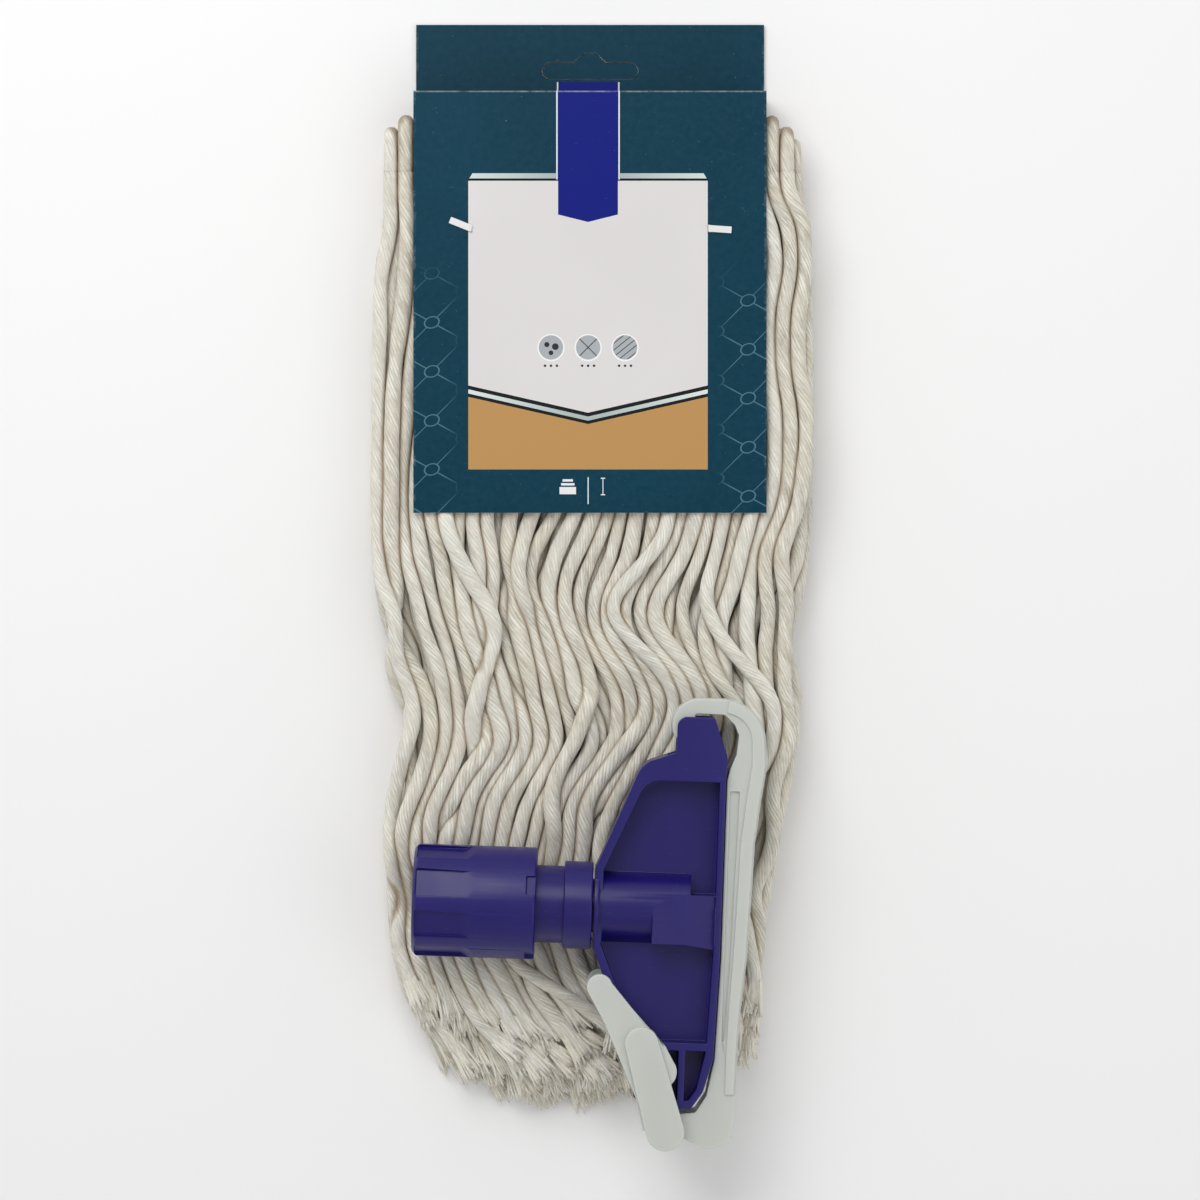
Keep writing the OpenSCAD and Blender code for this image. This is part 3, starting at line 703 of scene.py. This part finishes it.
def plan_strands(yarn, rng):
    """Where each strand length below the fold would lie on its own, with its radius, tip and layer"""
    columns = yarn.columns
    count = columns * LAYERS
    y = np.arange(LAYER_TOP_Y, PILE_END_Y, -STEP)
    rows = len(y)
    layer = np.repeat(np.arange(LAYERS), columns)
    column = np.tile(np.arange(columns), LAYERS)
    radius = yarn.strand_radius * (1 + 0.07 * rng.standard_normal(count).clip(-2, 2))
    radius = radius * THINNER[layer]

    left = along_edge(LEFT_EDGE, y)[:, None]
    right = along_edge(RIGHT_EDGE, y)[:, None]
    reach = yarn.strand_radius
    spread = (column + 0.5 + np.where(layer % 2, 0.25, -0.25)) / columns
    goal = left + reach + (right - left - 2 * reach) * spread[None, :]
    free_y = (-0.21, -0.16, -0.1, 0.0, 0.03, 0.06, 0.15)
    free = np.interp(y, free_y, (0.5, 0.7, 1.0, 0.9, 0.7, 0.4, 0.1))[:, None]
    place = column / (columns - 1)
    rim = np.abs(place - 0.5) * 2
    free = np.maximum(free, 0.6 * np.clip((rim - 0.72) * 7, 0, 1))
    wave = swing_of_strands(y, place, layer)
    quick = np.sin(2 * math.pi * (y[:, None] / QUICK_WAVE + 1.2 * place + 0.3 * layer))
    goal = goal + free * yarn.sway * (wave * np.interp(rim, (0.6, 1.0), (1.0, 0.45)) + 0.2 * quick)
    shared = smooth_random(rng, rows, LAYERS * 8, 5)
    group = layer * 8 + np.clip(column * 7 / (columns - 1), 0, 6.999)
    low = group.astype(int)
    part = (group - low)[None, :]
    shared = shared[:, low] * (1 - part) + shared[:, low + 1] * part
    goal = goal + free * TOGETHER * yarn.wander * shared
    goal = goal + free * ALONE * yarn.wander * smooth_random(rng, rows, count, 6)
    sweep = np.clip((-0.150 - y[:, None]) / 0.045, 0, 1) ** 1.5
    goal = goal + sweep * np.where((column > 2) & (column < 15) & (layer > 2), 24 * MM, 5 * MM)
    lean = rng.uniform(-1, 1, count) * LEAN_MM[layer] * MM
    goal = goal + np.clip((-0.168 - y[:, None]) / 0.03, 0, 1.3) ** 2 * lean

    over = np.zeros((rows, count), bool)
    for top_column, places, shifts, (start, end) in CROSSINGS:
        strand = (LAYERS - 1) * columns + top_column
        goal[:, strand] += np.interp(-y, [-p for p in places], shifts) * MM
        over[(y < start) & (y > end), strand] = True

    tips = np.array([np.interp(goal[-6, s], *zip(*TIPS)) for s in range(count)])
    tips = tips + SHORTER[layer] + rng.uniform(0, 11 * MM, count)
    pile = SimpleNamespace(y=y, radius=radius, tips=tips, layer=layer, column=column)
    pile.goal, pile.over, pile.left, pile.right = goal, over, left, right
    return pile


def settle(pile, yarn, rng):
    """Let the planned strands sink, each clear of the others and under what lies on them"""
    y, radius, goal, over = pile.y, pile.radius, pile.goal, pile.over
    rows, count = goal.shape
    size = rows * count
    live = y[:, None] > pile.tips[None, :] - STEP
    fold_x, fold_z = strand_lattice(yarn)
    x = goal.copy()
    z = np.repeat(fold_z[None, :], rows, 0)
    goal_z = z + 2.2 * MM * smooth_random(rng, rows, count, 7) * RISE[pile.layer]
    x[0], z[0] = fold_x, fold_z
    floor = np.where(y > UNDER_CARD_Y, CARD_LOW.z + 0.8 * MM, 0.1 * MM)[:, None] + radius[None, :]
    strap_rows = np.abs(y - STRAP_Y) < 5 * MM
    leg_room = radius + 0.8 * MM
    freed = np.array((0.0, 0.3, 0.62, 0.88))[:, None]
    at_fold = slice(len(freed))
    tall = y[:, None] * np.ones((1, count))
    for turn_number in range(TURNS):
        x += TO_GOAL * (goal - x)
        z += TO_GOAL * (goal_z - z) - SINK
        for line in (x, z):
            line[1:-1] += TO_STRAIGHT * (0.5 * (line[2:] + line[:-2]) - line[1:-1])
        if turn_number % SEARCH_EVERY == 0:
            apart_x = x[:, :, None] - x[:, None, :]
            apart_z = z[:, :, None] - z[:, None, :]
            both = live[:, :, None] & live[:, None, :]
            near = (apart_x**2 + apart_z**2 < (2 * yarn.strand_radius + 2 * MM) ** 2) & both
            row, one, two = np.nonzero(np.triu(near, 1))
            need = radius[one] + radius[two]
            first, second = row * count + one, row * count + two
            crossing = over[row, one] | over[row, two]
        dx, dz = x[row, one] - x[row, two], z[row, one] - z[row, two]
        gap = np.maximum(np.hypot(dx, dz), 0.05 * MM)
        push = np.where(crossing, 0.0, np.maximum(need - gap, 0.0)) * TO_CLEAR
        for line, move in ((x, dx / gap * push), (z, dz / gap * push)):
            shift = np.bincount(first, move, size) - np.bincount(second, move, size)
            line += shift.reshape(rows, count)
        lift = np.sqrt(np.maximum(need**2 - dx**2, 0.0))
        for upper, lower in ((one, two), (two, one)):
            pick = over[row, upper] & ~over[row, lower] & (lift > 0)
            resting = z[row, lower][pick] + lift[pick] * 0.94
            np.maximum.at(z.reshape(-1), (row * count + upper)[pick], resting)
        x = np.clip(x, pile.left + radius, pile.right - radius)
        for leg in STRAP_LEGS:
            off = x[strap_rows] - leg
            beside = leg + np.sign(off + 1e-9) * leg_room
            x[strap_rows] = np.where(np.abs(off) < leg_room, beside, x[strap_rows])
        roof = holder_roof(x, tall, radius[None, :])
        z = np.clip(z, floor, np.where(over, np.maximum(roof, CROSSING_ROOF - radius), roof))
        x[at_fold] = fold_x + (x[at_fold] - fold_x) * freed
        z[at_fold] = fold_z + (z[at_fold] - fold_z) * freed
    for line in (x, z):
        line[1:-1] += 0.5 * (0.5 * (line[2:] + line[:-2]) - line[1:-1])
    pile.x, pile.z = x, z


def curve_through(points, spacing):
    """Evenly spaced points on a smooth curve through these points"""
    ends = np.vstack([2 * points[0] - points[1], points, 2 * points[-1] - points[-2]])
    part = np.linspace(0, 1, 4, endpoint=False)[None, :, None]
    a, b, c, d = (ends[k : len(ends) - 3 + k, None, :] for k in range(4))
    fine = 0.5 * (2 * b + (c - a) * part + (2 * a - 5 * b + 4 * c - d) * part**2)
    fine += 0.5 * (3 * b - a - 3 * c + d) * part**3
    fine = np.vstack([fine.reshape(-1, 3), points[-1:]])
    run = np.concatenate([[0], np.cumsum(np.linalg.norm(np.diff(fine, axis=0), axis=1))])
    places = np.linspace(0, run[-1], max(3, int(round(run[-1] / spacing)) + 1))
    line = np.stack([np.interp(places, run, fine[:, axis]) for axis in range(3)], 1)
    return line, places


def sweep_tube(line, places, radius, sides, profile):
    """Closed tube along a line; profile gives the radius round each ring. Returns points, faces and map"""
    rings = len(line)
    tangent = np.gradient(line, axis=0)
    tangent /= np.linalg.norm(tangent, axis=1)[:, None]
    side = np.zeros_like(line)
    start = np.cross(tangent[0], (0, 0, 1))
    side[0] = start / np.linalg.norm(start)
    for k in range(1, rings):
        turned = side[k - 1] - tangent[k] * np.dot(tangent[k], side[k - 1])
        side[k] = turned / np.linalg.norm(turned)
    lifted = np.cross(side, tangent)
    angle = np.arange(sides) / sides * 2 * math.pi - math.pi / 2
    size = radius[:, None] * profile(angle[None, :], places[:, None])
    across = (size * np.cos(angle))[:, :, None] * side[:, None, :]
    rise = (size * np.sin(angle))[:, :, None] * lifted[:, None, :]
    points = (line[:, None, :] + across + rise).reshape(-1, 3)
    k, s = np.meshgrid(np.arange(rings - 1), np.arange(sides), indexing="ij")
    here, ahead, turn = k * sides, (k + 1) * sides, (s + 1) % sides
    corner = np.stack([here + s, here + turn, ahead + turn, ahead + s], -1).reshape(-1, 4)
    around = np.stack([s, s + 1, s + 1, s], -1).reshape(-1, 4) / sides
    along = np.stack([places[k], places[k], places[k + 1], places[k + 1]], -1).reshape(-1, 4)
    return points, corner, np.stack([around, along / UV_LENGTH], -1)


class TubeBundle:
    """Many tubes gathered into one mesh with its Strand map, its tone and the painted shade between strands
    at each point
    """

    def __init__(self, sides):
        self.sides = sides
        self.points, self.quads, self.maps, self.caps = [], [], [], []
        self.tones, self.gap_shade_amount = [], []
        self.total = 0

    def add(self, line, places, radius, profile, tone, gap_shading=None, folded=False):
        points, quads, uv = sweep_tube(line, places, radius, self.sides, profile)
        if folded:
            uv = np.array((1.0, FOLD_OVERLAP / UV_LENGTH)) - uv
        elif gap_shading:
            past = np.maximum(uv[..., 1] - (places[-1] - LOOSE_END) / UV_LENGTH, 0)
            uv[..., 0] += FIBRE_TURN * past
        self.gap_shade_amount.append(gap_shading(points) if gap_shading else np.zeros(len(points)))
        self.points.append(points)
        self.quads.append(quads + self.total)
        self.maps.append(uv)
        self.tones.append(np.full(len(points), tone))
        ring = np.arange(self.sides)
        self.caps.append(ring[::-1] + self.total)
        self.caps.append(ring + self.total + len(points) - self.sides)
        self.total += len(points)

    def build(self, name):
        points = np.concatenate(self.points)
        quads = np.concatenate(self.quads)
        caps = np.stack(self.caps)
        corners = np.concatenate([quads.ravel(), caps.ravel()])
        starts = np.concatenate(
            [np.arange(len(quads)) * 4, len(quads) * 4 + np.arange(len(caps)) * self.sides]
        )
        mesh = bpy.data.meshes.new(name)
        mesh.vertices.add(len(points))
        mesh.vertices.foreach_set("co", points.astype(np.float32).ravel())
        mesh.loops.add(len(corners))
        mesh.loops.foreach_set("vertex_index", corners.astype(np.int32))
        mesh.polygons.add(len(starts))
        mesh.polygons.foreach_set("loop_start", starts.astype(np.int32))
        mesh.update(calc_edges=True)
        mesh.validate()
        side_map = np.concatenate(self.maps).reshape(-1, 2)
        whole_map = np.concatenate([side_map, np.zeros((caps.size, 2))])
        mesh.uv_layers.new(name="Strand").uv.foreach_set("vector", whole_map.astype(np.float32).ravel())
        for key, values in (("tone", self.tones), ("gap_shade_amount", self.gap_shade_amount)):
            field = mesh.attributes.new(key, "FLOAT", "POINT")
            field.data.foreach_set("value", np.concatenate(values).astype(np.float32))
        rounded = np.ones(len(starts), bool)
        rounded[len(quads) :] = False
        mesh.polygons.foreach_set("use_smooth", rounded)
        piece = bpy.data.objects.new(name, mesh)
        bpy.context.scene.collection.objects.link(piece)
        return piece


def ply_profile(yarn, phase, end=None):
    """Round section with a swelling for each ply, turning along the strand and opening out at its cut end"""

    def profile(angle, place):
        twist = angle - 2 * math.pi * place / yarn.pitch - phase
        swell = np.abs(np.cos(yarn.plies / 2 * twist))
        opening = 0.0 if end is None else np.clip(1 - (end - place) / LOOSE_END, 0, 1) ** 1.3
        flat = 1.0 + (0.05 + 0.36 * opening) * np.cos(2 * angle)
        return (1.0 - yarn.relief + yarn.relief * swell**0.7) * flat

    return profile


def gap_shade_of(pile, *own):
    """How near each point of a tube lies to strands that aren't its own: 0 in the open, 1 at a touch. This
    sets the painted shade between strands
    """
    x, z = pile.x, pile.z
    nearest = np.min([np.hypot(x - x[:, s : s + 1], z - z[:, s : s + 1]).min(0) for s in own], axis=0)
    others = [other for other in np.nonzero(nearest < GAP_SHADE_REACH)[0] if other not in own]

    def gap_shading(points):
        room = np.full(len(points), GAP_SHADE_REACH)
        for other in others:
            other_x = np.interp(points[:, 1], pile.y[::-1], x[::-1, other])
            other_z = np.interp(points[:, 1], pile.y[::-1], z[::-1, other])
            apart = np.hypot(points[:, 0] - other_x, points[:, 2] - other_z) - pile.radius[other]
            room = np.where(points[:, 1] > pile.tips[other], np.minimum(room, apart), room)
        return np.clip(1 - room / (1.9 * MM), 0, 1)

    return gap_shading


def plain_profile(angle, place):
    return np.ones(np.broadcast(angle, place).shape)


def add_fray(bundle, rng, line, radius, tone):
    """Loose threads that lie on a strand's flattened cut end and reach a little past it"""
    tip = line[-1]
    heading = line[-1] - line[-4]
    heading /= np.linalg.norm(heading)
    side = np.cross(heading, (0, 0, 1))
    side /= np.linalg.norm(side)
    part = np.linspace(0, 1, 6)[:, None]
    for _ in range(FRAY_THREADS):
        turn = rng.uniform(0, 2 * math.pi)
        off = math.sqrt(rng.uniform(0.3, 1))
        aside, rise = off * math.cos(turn), off * math.sin(turn)
        back = rng.uniform(7, 11) * MM
        reach = back + rng.uniform(0.0, 4.0) * MM
        root = tip - heading * back + radius * (1.02 * aside * side + np.array((0, 0, 0.70 * rise)))
        away = side * aside * FRAY_SPLAY
        bend = rng.standard_normal(3) * np.array((0.06, 0.06, 0.01))
        points = root + heading * reach * part + (away * part + bend * part**3) * reach
        points[:, 2] -= 0.25 * radius * rise * part[:, 0]
        points[:, 2] -= 0.9 * MM * part[:, 0] ** 3
        thick = radius * rng.uniform(0.15, 0.23)
        points[:, 2] = np.clip(points[:, 2], thick + 0.1 * MM, None)
        bundle.add(points, part[:, 0] * reach, thick * (1 - 0.3 * part[:, 0] ** 4), plain_profile, tone)


class MOP_OT_yarn(bpy.types.Operator):
    """Lay the cotton strands and fold them over the sewn band"""

    bl_idname = "mop.yarn"
    bl_label = "Cotton Strands"

    def execute(self, context):
        yarn = context.scene.mop_yarn
        rng = np.random.default_rng(41)
        pile = plan_strands(yarn, rng)
        settle(pile, yarn, rng)
        rows, count = pile.x.shape
        # Both finishes paint shade between fibres: shaded and loose are the painted shade colours
        twisted = cotton_finish(yarn, "twisted cotton", yarn.shaded, FIBRE_TURN, 18.0, 0.55, 0.9)
        loose = cotton_finish(yarn, "loose cotton", yarn.loose, 0.0, 3.0, 0.0, 0.15)
        tone = rng.uniform(0, 1, count)
        phase = rng.uniform(0, 2 * math.pi, count)
        slack = 0.955 + 0.055 * smooth_random(rng, rows, count, 4)
        frays = TubeBundle(4)
        for number, (sides, spacing) in enumerate(TUBES):
            bundle = TubeBundle(sides)
            for strand in np.nonzero(pile.layer == number)[0]:
                end_y = pile.tips[strand]
                keep = pile.y > end_y + 0.5 * STEP
                points = np.stack([pile.x[keep, strand], pile.y[keep], pile.z[keep, strand]], 1)
                tip = points[-1] + (points[-1] - points[-2]) * (points[-1, 1] - end_y) / STEP
                line, places = curve_through(np.vstack([points, tip]), spacing)
                ends = (0, 14 * MM, places[-1] - 10 * MM, places[-1])
                size = pile.radius[strand] * np.interp(places, ends, (0.9, 1.0, 1.0, 0.60))
                steady = np.clip(places / (30 * MM) - 0.2, 0, 1)
                uneven = np.interp(places, np.arange(rows) * STEP, slack[:, strand]) - 1
                size = size * (1 + steady * uneven)
                section = ply_profile(yarn, phase[strand], places[-1])
                bundle.add(line, places, size, section, tone[strand], gap_shade_of(pile, strand))
                add_fray(frays, rng, line, pile.radius[strand], tone[strand])
            piece = bundle.build(f"strands_{number + 1}")
            finish_piece(piece, "head", "yarn", twisted, nodes=(f"yarn_layer_{number + 1}",))
        finish_piece(frays.build("cut_ends"), "head", "yarn", loose)
        self.fold(yarn, pile, tone, phase, twisted)
        return {"FINISHED"}

    def fold(self, yarn, pile, tone, phase, finish):
        """Turn the strands over at the top: the outer layers round the inner ones, the middle one sideways"""
        bundle = TubeBundle(14)
        x, z = pile.x[0], pile.z[0]
        inner = LAYERS // 2
        top = BAND_HIGH.y - 1.2 * MM
        widest = (z.max() - z.min()) / 2
        start_y = top - widest - FOLD_SQUEEZE * yarn.strand_radius
        for strand in np.nonzero(pile.layer >= inner)[0]:
            height, column = pile.layer[strand], pile.column[strand]
            rim = abs(column - (yarn.columns - 1) / 2) / (yarn.columns / 2)
            base = start_y - 13 * MM * max(0.0, (rim - 0.72) / 0.28) ** 1.6
            if height > inner:
                partner = strand - (2 * height - LAYERS + 1) * yarn.columns
                middle, bow = (z[strand] + z[partner]) / 2, (z[strand] - z[partner]) / 2
                arc = [
                    (x[strand], base + bow * math.cos(a), middle + bow * math.sin(a))
                    for a in np.linspace(math.pi / 2, -math.pi / 2, 9)
                ]
            elif column % 2 == 0 and column + 1 < yarn.columns:
                partner = strand + 1
                middle, bow = (x[strand] + x[partner]) / 2, (x[partner] - x[strand]) / 2
                arc = [
                    (middle - bow * math.cos(a), base + bow * math.sin(a), z[strand])
                    for a in np.linspace(0, math.pi, 9)
                ]
            else:
                continue
            mouth_y = LAYER_TOP_Y - FOLD_OVERLAP
            half_y = (LAYER_TOP_Y + base) / 2
            way_in = [(x[strand], y, z[strand]) for y in (mouth_y, half_y)]
            way_out = [(x[partner], y, z[partner]) for y in (half_y, mouth_y)]
            line, places = curve_through(np.array([*way_in, *arc, *way_out]), 2.6 * MM)
            ends = (0, 3 * MM, places[-1] - 3 * MM, places[-1])
            size = pile.radius[strand] * np.interp(places, ends, (0.893, 0.9, 0.9, 0.87))
            section = ply_profile(yarn, -phase[strand] - 2 * math.pi * FOLD_OVERLAP / yarn.pitch)
            gap_shading = gap_shade_of(pile, strand, partner)
            bundle.add(line, places, size, section, tone[strand], gap_shading, folded=True)
        finish_piece(bundle.build("strands_fold"), "head", "yarn", finish, nodes=("yarn_fold",))


class MOP_OT_band(bpy.types.Operator):
    """Sew the woven tape round the fold"""

    bl_idname = "mop.band"
    bl_label = "Sewn Band"

    def execute(self, context):
        tape = woven_finish("woven tape", (0.80, 0.79, 0.75), (0.42, 0.41, 0.38), 0.9 * MM)
        band = softened_copy("head_band", "sewn_band", 0.25 * MM)
        take(band)
        bpy.ops.object.mode_set(mode="EDIT")
        for place in np.arange(BAND_LOW.x + 4 * MM, BAND_HIGH.x, 4 * MM):
            bpy.ops.mesh.select_all(action="SELECT")
            bpy.ops.mesh.bisect(plane_co=(place, 0, 0), plane_no=(1, 0, 0))
        bpy.ops.object.mode_set(mode="OBJECT")
        smooth(band)
        finish_piece(band, "head", "tape", tape, nodes=("head_band",))
        thread = woven_finish("stitch thread", (0.86, 0.85, 0.81), (0.55, 0.54, 0.50), 0.35 * MM)
        low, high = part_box("band_stitching")
        stitches = []
        for row_y in (low.y + 0.4 * MM, high.y - 0.4 * MM):
            for place in np.arange(low.x + 2 * MM, high.x - 2 * MM, 4.2 * MM):
                deselect()
                bpy.ops.mesh.primitive_cylinder_add(
                    vertices=6,
                    radius=0.32 * MM,
                    depth=3.0 * MM,
                    rotation=(0, math.pi / 2, 0),
                    location=(place, row_y, low.z + 0.05 * MM),
                )
                stitch = bpy.context.object
                bpy.ops.object.mode_set(mode="EDIT")
                bpy.ops.mesh.select_all(action="DESELECT")
                bpy.ops.object.mode_set(mode="OBJECT")
                for face in stitch.data.polygons:
                    face.select = abs(face.normal.z) > 0.9
                bpy.ops.object.mode_set(mode="EDIT")
                bpy.ops.mesh.inset(thickness=0.12 * MM, depth=0.3 * MM)
                bpy.ops.object.mode_set(mode="OBJECT")
                settle_in_mesh(stitch)
                stitches.append(stitch)
        row = join("stitch_rows", stitches)
        smooth(row, 60)
        finish_piece(row, "head", "tape", thread, nodes=("band_stitching",))
        return {"FINISHED"}


# ---- Card and strap ----


def sort_card_faces(piece):
    """Give each face of the card its side: 0 printed, 1 bare edge, 2 unprinted inside"""
    between_panels = 20 * MM
    for face in piece.data.polygons:
        normal, centre = face.normal, face.center
        over_fold = centre.y - CARD_FOLD_Y
        inside = (
            (normal.z < -0.7 and centre.z > between_panels)
            or (normal.z > 0.7 and centre.z < between_panels and centre.y < CARD_FOLD_Y - 1 * MM)
            or (normal.y < -0.7 and abs(over_fold) < 2 * MM)
        )
        printed_fold = normal.y > 0.7 and abs(over_fold) < 1 * MM
        edge = abs(normal.z) < 0.6 and not printed_fold
        face.material_index = 2 if inside else 1 if edge else 0


class MOP_OT_card(bpy.types.Operator):
    """Fold the printed card over the head, with its knife-cut hanging slot"""

    bl_idname = "mop.card"
    bl_label = "Hanging Card"

    def execute(self, context):
        card = context.scene.mop_card
        finishes = (
            card_print_finish(card),
            pulp_finish("card core", 1500.0, 4.0, darker(card.core, 0.7), card.core, 0.4),
            pulp_finish("card inside", 700.0, 5.0, (0.36, 0.35, 0.33), (0.52, 0.51, 0.48), 0.35, 0.5),
        )
        for node, name, body in (
            ("header_card", "hanging_card", "head"),
            ("slot_flap", "hanging_flap", "flap"),
        ):
            piece = softened_copy(node, name, 0)
            sort_card_faces(piece)
            finish_piece(piece, body, "card", *finishes, nodes=(node,))
        return {"FINISHED"}


class MOP_OT_strap(bpy.types.Operator):
    """Thread the plastic tie strap through the card and fold its ends over"""

    bl_idname = "mop.strap"
    bl_label = "Tie Strap"

    def execute(self, context):
        holder = context.scene.mop_holder
        plastic = moulded_finish("strap plastic", holder.white, 0.32, 0.05)
        mould(("tie_strap", "tie_strap_band", "head", "strap", plastic, 0.12 * MM))
        return {"FINISHED"}


# ---- Holder ----


class MOP_OT_frame(bpy.types.Operator):
    """Mould the blue frame, its sleeve and the collar nut"""

    bl_idname = "mop.frame"
    bl_label = "Frame and Collar"

    def execute(self, context):
        holder = context.scene.mop_holder
        blue = moulded_finish("blue plastic", holder.blue, 0.36, 0.10)
        white = moulded_finish("ring plastic", holder.white, 0.5, 0.06)
        mould(
            ("clip_frame", "holder_frame", "holder", "frame_plastic", blue, holder.edge),
            ("socket_sleeve", "handle_sleeve", "holder", "frame_plastic", blue, 0.2 * MM),
            ("collar_nut", "screw_collar", "collar", "frame_plastic", blue, holder.edge),
            ("clamp_ring", "grip_ring", "clamp", "ring_plastic", white, 0.15 * MM),
        )
        return {"FINISHED"}


class MOP_OT_gate(bpy.types.Operator):
    """Mould the milky gate and its latch lever, and set the steel pins"""

    bl_idname = "mop.gate"
    bl_label = "Gate and Latch"

    def execute(self, context):
        holder = context.scene.mop_holder
        clear = {
            "Subsurface Weight": 0.35,
            "Subsurface Radius": (1.0, 1.05, 0.95),
            "Subsurface Scale": 3 * MM,
        }
        milk = moulded_finish("milky plastic", holder.milk, 0.34, 0.05, **clear)
        steel = steel_finish("pin steel", holder.steel)
        mould(
            ("gate", "swing_gate", "gate", "gate_plastic", milk, 0.5 * MM),
            ("latch_lever", "thumb_lever", "latch", "gate_plastic", milk, 0.45 * MM),
            ("gate_pin", "gate_hinge_pin", "holder", "steel", steel, 0.25 * MM),
            ("lever_pin", "lever_hinge_pin", "latch", "steel", steel, 0.25 * MM),
        )
        return {"FINISHED"}


# ---- Stage ----


class MOP_OT_stage(bpy.types.Operator):
    """Set the pale floor, the soft light and the camera"""

    bl_idname = "mop.stage"
    bl_label = "Floor, Light and Camera"

    def execute(self, context):
        stage = context.scene.mop_stage
        scene = context.scene
        deselect()
        bpy.ops.mesh.primitive_plane_add(size=6.0, location=(0, 0, -0.2 * MM))
        floor = context.object
        floor.name = "stage_floor"
        finish = Finish("pale floor", **{"Roughness": 0.9})
        finish.place()
        cloud = finish.noise(3.0, 2.0, 0.4)
        tint = finish.blend(cloud, darker(stage.floor, 0.995), stage.floor)
        floor.data.materials.append(finish.feed(Base_Color=tint))
        lights = (
            ("key_light", (-0.35, 0.75, 1.15), 0.9, stage.key_power),
            ("fill_light", (0.65, -0.35, 1.25), 1.1, stage.fill_power),
        )
        aim = Vector((0, 0, 0.02))
        for name, place, size, power in lights:
            deselect()
            bpy.ops.object.light_add(type="AREA", location=place)
            light = context.object
            light.name = name
            light.data.shape = "SQUARE"
            light.data.size = size
            light.data.energy = power
            light.rotation_euler = (aim - Vector(place)).to_track_quat("-Z", "Y").to_euler()
        world = bpy.data.worlds.new("even sky")
        world.use_nodes = True
        nodes, links = world.node_tree.nodes, world.node_tree.links
        way = nodes.new("ShaderNodeTexCoord")
        split = nodes.new("ShaderNodeSeparateXYZ")
        fade = nodes.new("ShaderNodeMapRange")
        for socket, value in ((1, 0.2), (2, 1.0), (3, stage.sky * 1.25), (4, stage.sky * 0.55)):
            fade.inputs[socket].default_value = value
        links.new(way.outputs["Generated"], split.inputs[0])
        links.new(split.outputs[2], fade.inputs[0])
        links.new(fade.outputs[0], nodes["Background"].inputs["Strength"])
        nodes["Background"].inputs["Color"].default_value = (1.0, 1.0, 1.0, 1.0)
        scene.world = world
        deselect()
        bpy.ops.object.camera_add(location=(2.9 * MM, -8.1 * MM, stage.camera_height), rotation=(0, 0, 0))
        camera = context.object
        camera.name = "camera"
        camera.data.lens_unit = "FOV"
        camera.data.angle = stage.view_angle
        camera.data.clip_start = 0.01
        camera.data.clip_end = 20.0
        scene.camera = camera
        scene.view_settings.view_transform = "Standard"
        return {"FINISHED"}


# ---- Panel and registration ----

BUILD_ORDER = ("stage", "yarn", "band", "card", "strap", "frame", "gate")
SETTINGS = {
    "mop_yarn": YarnSettings,
    "mop_card": CardSettings,
    "mop_holder": HolderSettings,
    "mop_stage": StageSettings,
}


class MOP_PT_build(bpy.types.Panel):
    """Buttons that build the mop piece by piece, with their settings"""

    bl_idname = "MOP_PT_build"
    bl_label = "String Mop"
    bl_space_type = "VIEW_3D"
    bl_region_type = "UI"
    bl_category = "String Mop"

    def draw(self, context):
        for step in BUILD_ORDER:
            self.layout.operator(f"mop.{step}")
        for key in SETTINGS:
            settings = getattr(context.scene, key)
            box = self.layout.box()
            for entry in settings.__annotations__:
                box.prop(settings, entry)


CLASSES = (
    *SETTINGS.values(),
    MOP_OT_stage,
    MOP_OT_yarn,
    MOP_OT_band,
    MOP_OT_card,
    MOP_OT_strap,
    MOP_OT_frame,
    MOP_OT_gate,
    MOP_PT_build,
)


def register():
    for entry in CLASSES:
        bpy.utils.register_class(entry)
    for key, group in SETTINGS.items():
        setattr(bpy.types.Scene, key, bpy.props.PointerProperty(type=group))


def unregister():
    for key in SETTINGS:
        delattr(bpy.types.Scene, key)
    for entry in reversed(CLASSES):
        bpy.utils.unregister_class(entry)


def main():
    register()
    for step in BUILD_ORDER:
        getattr(bpy.ops.mop, step)()
    deselect()


if __name__ == "__main__":
    main()
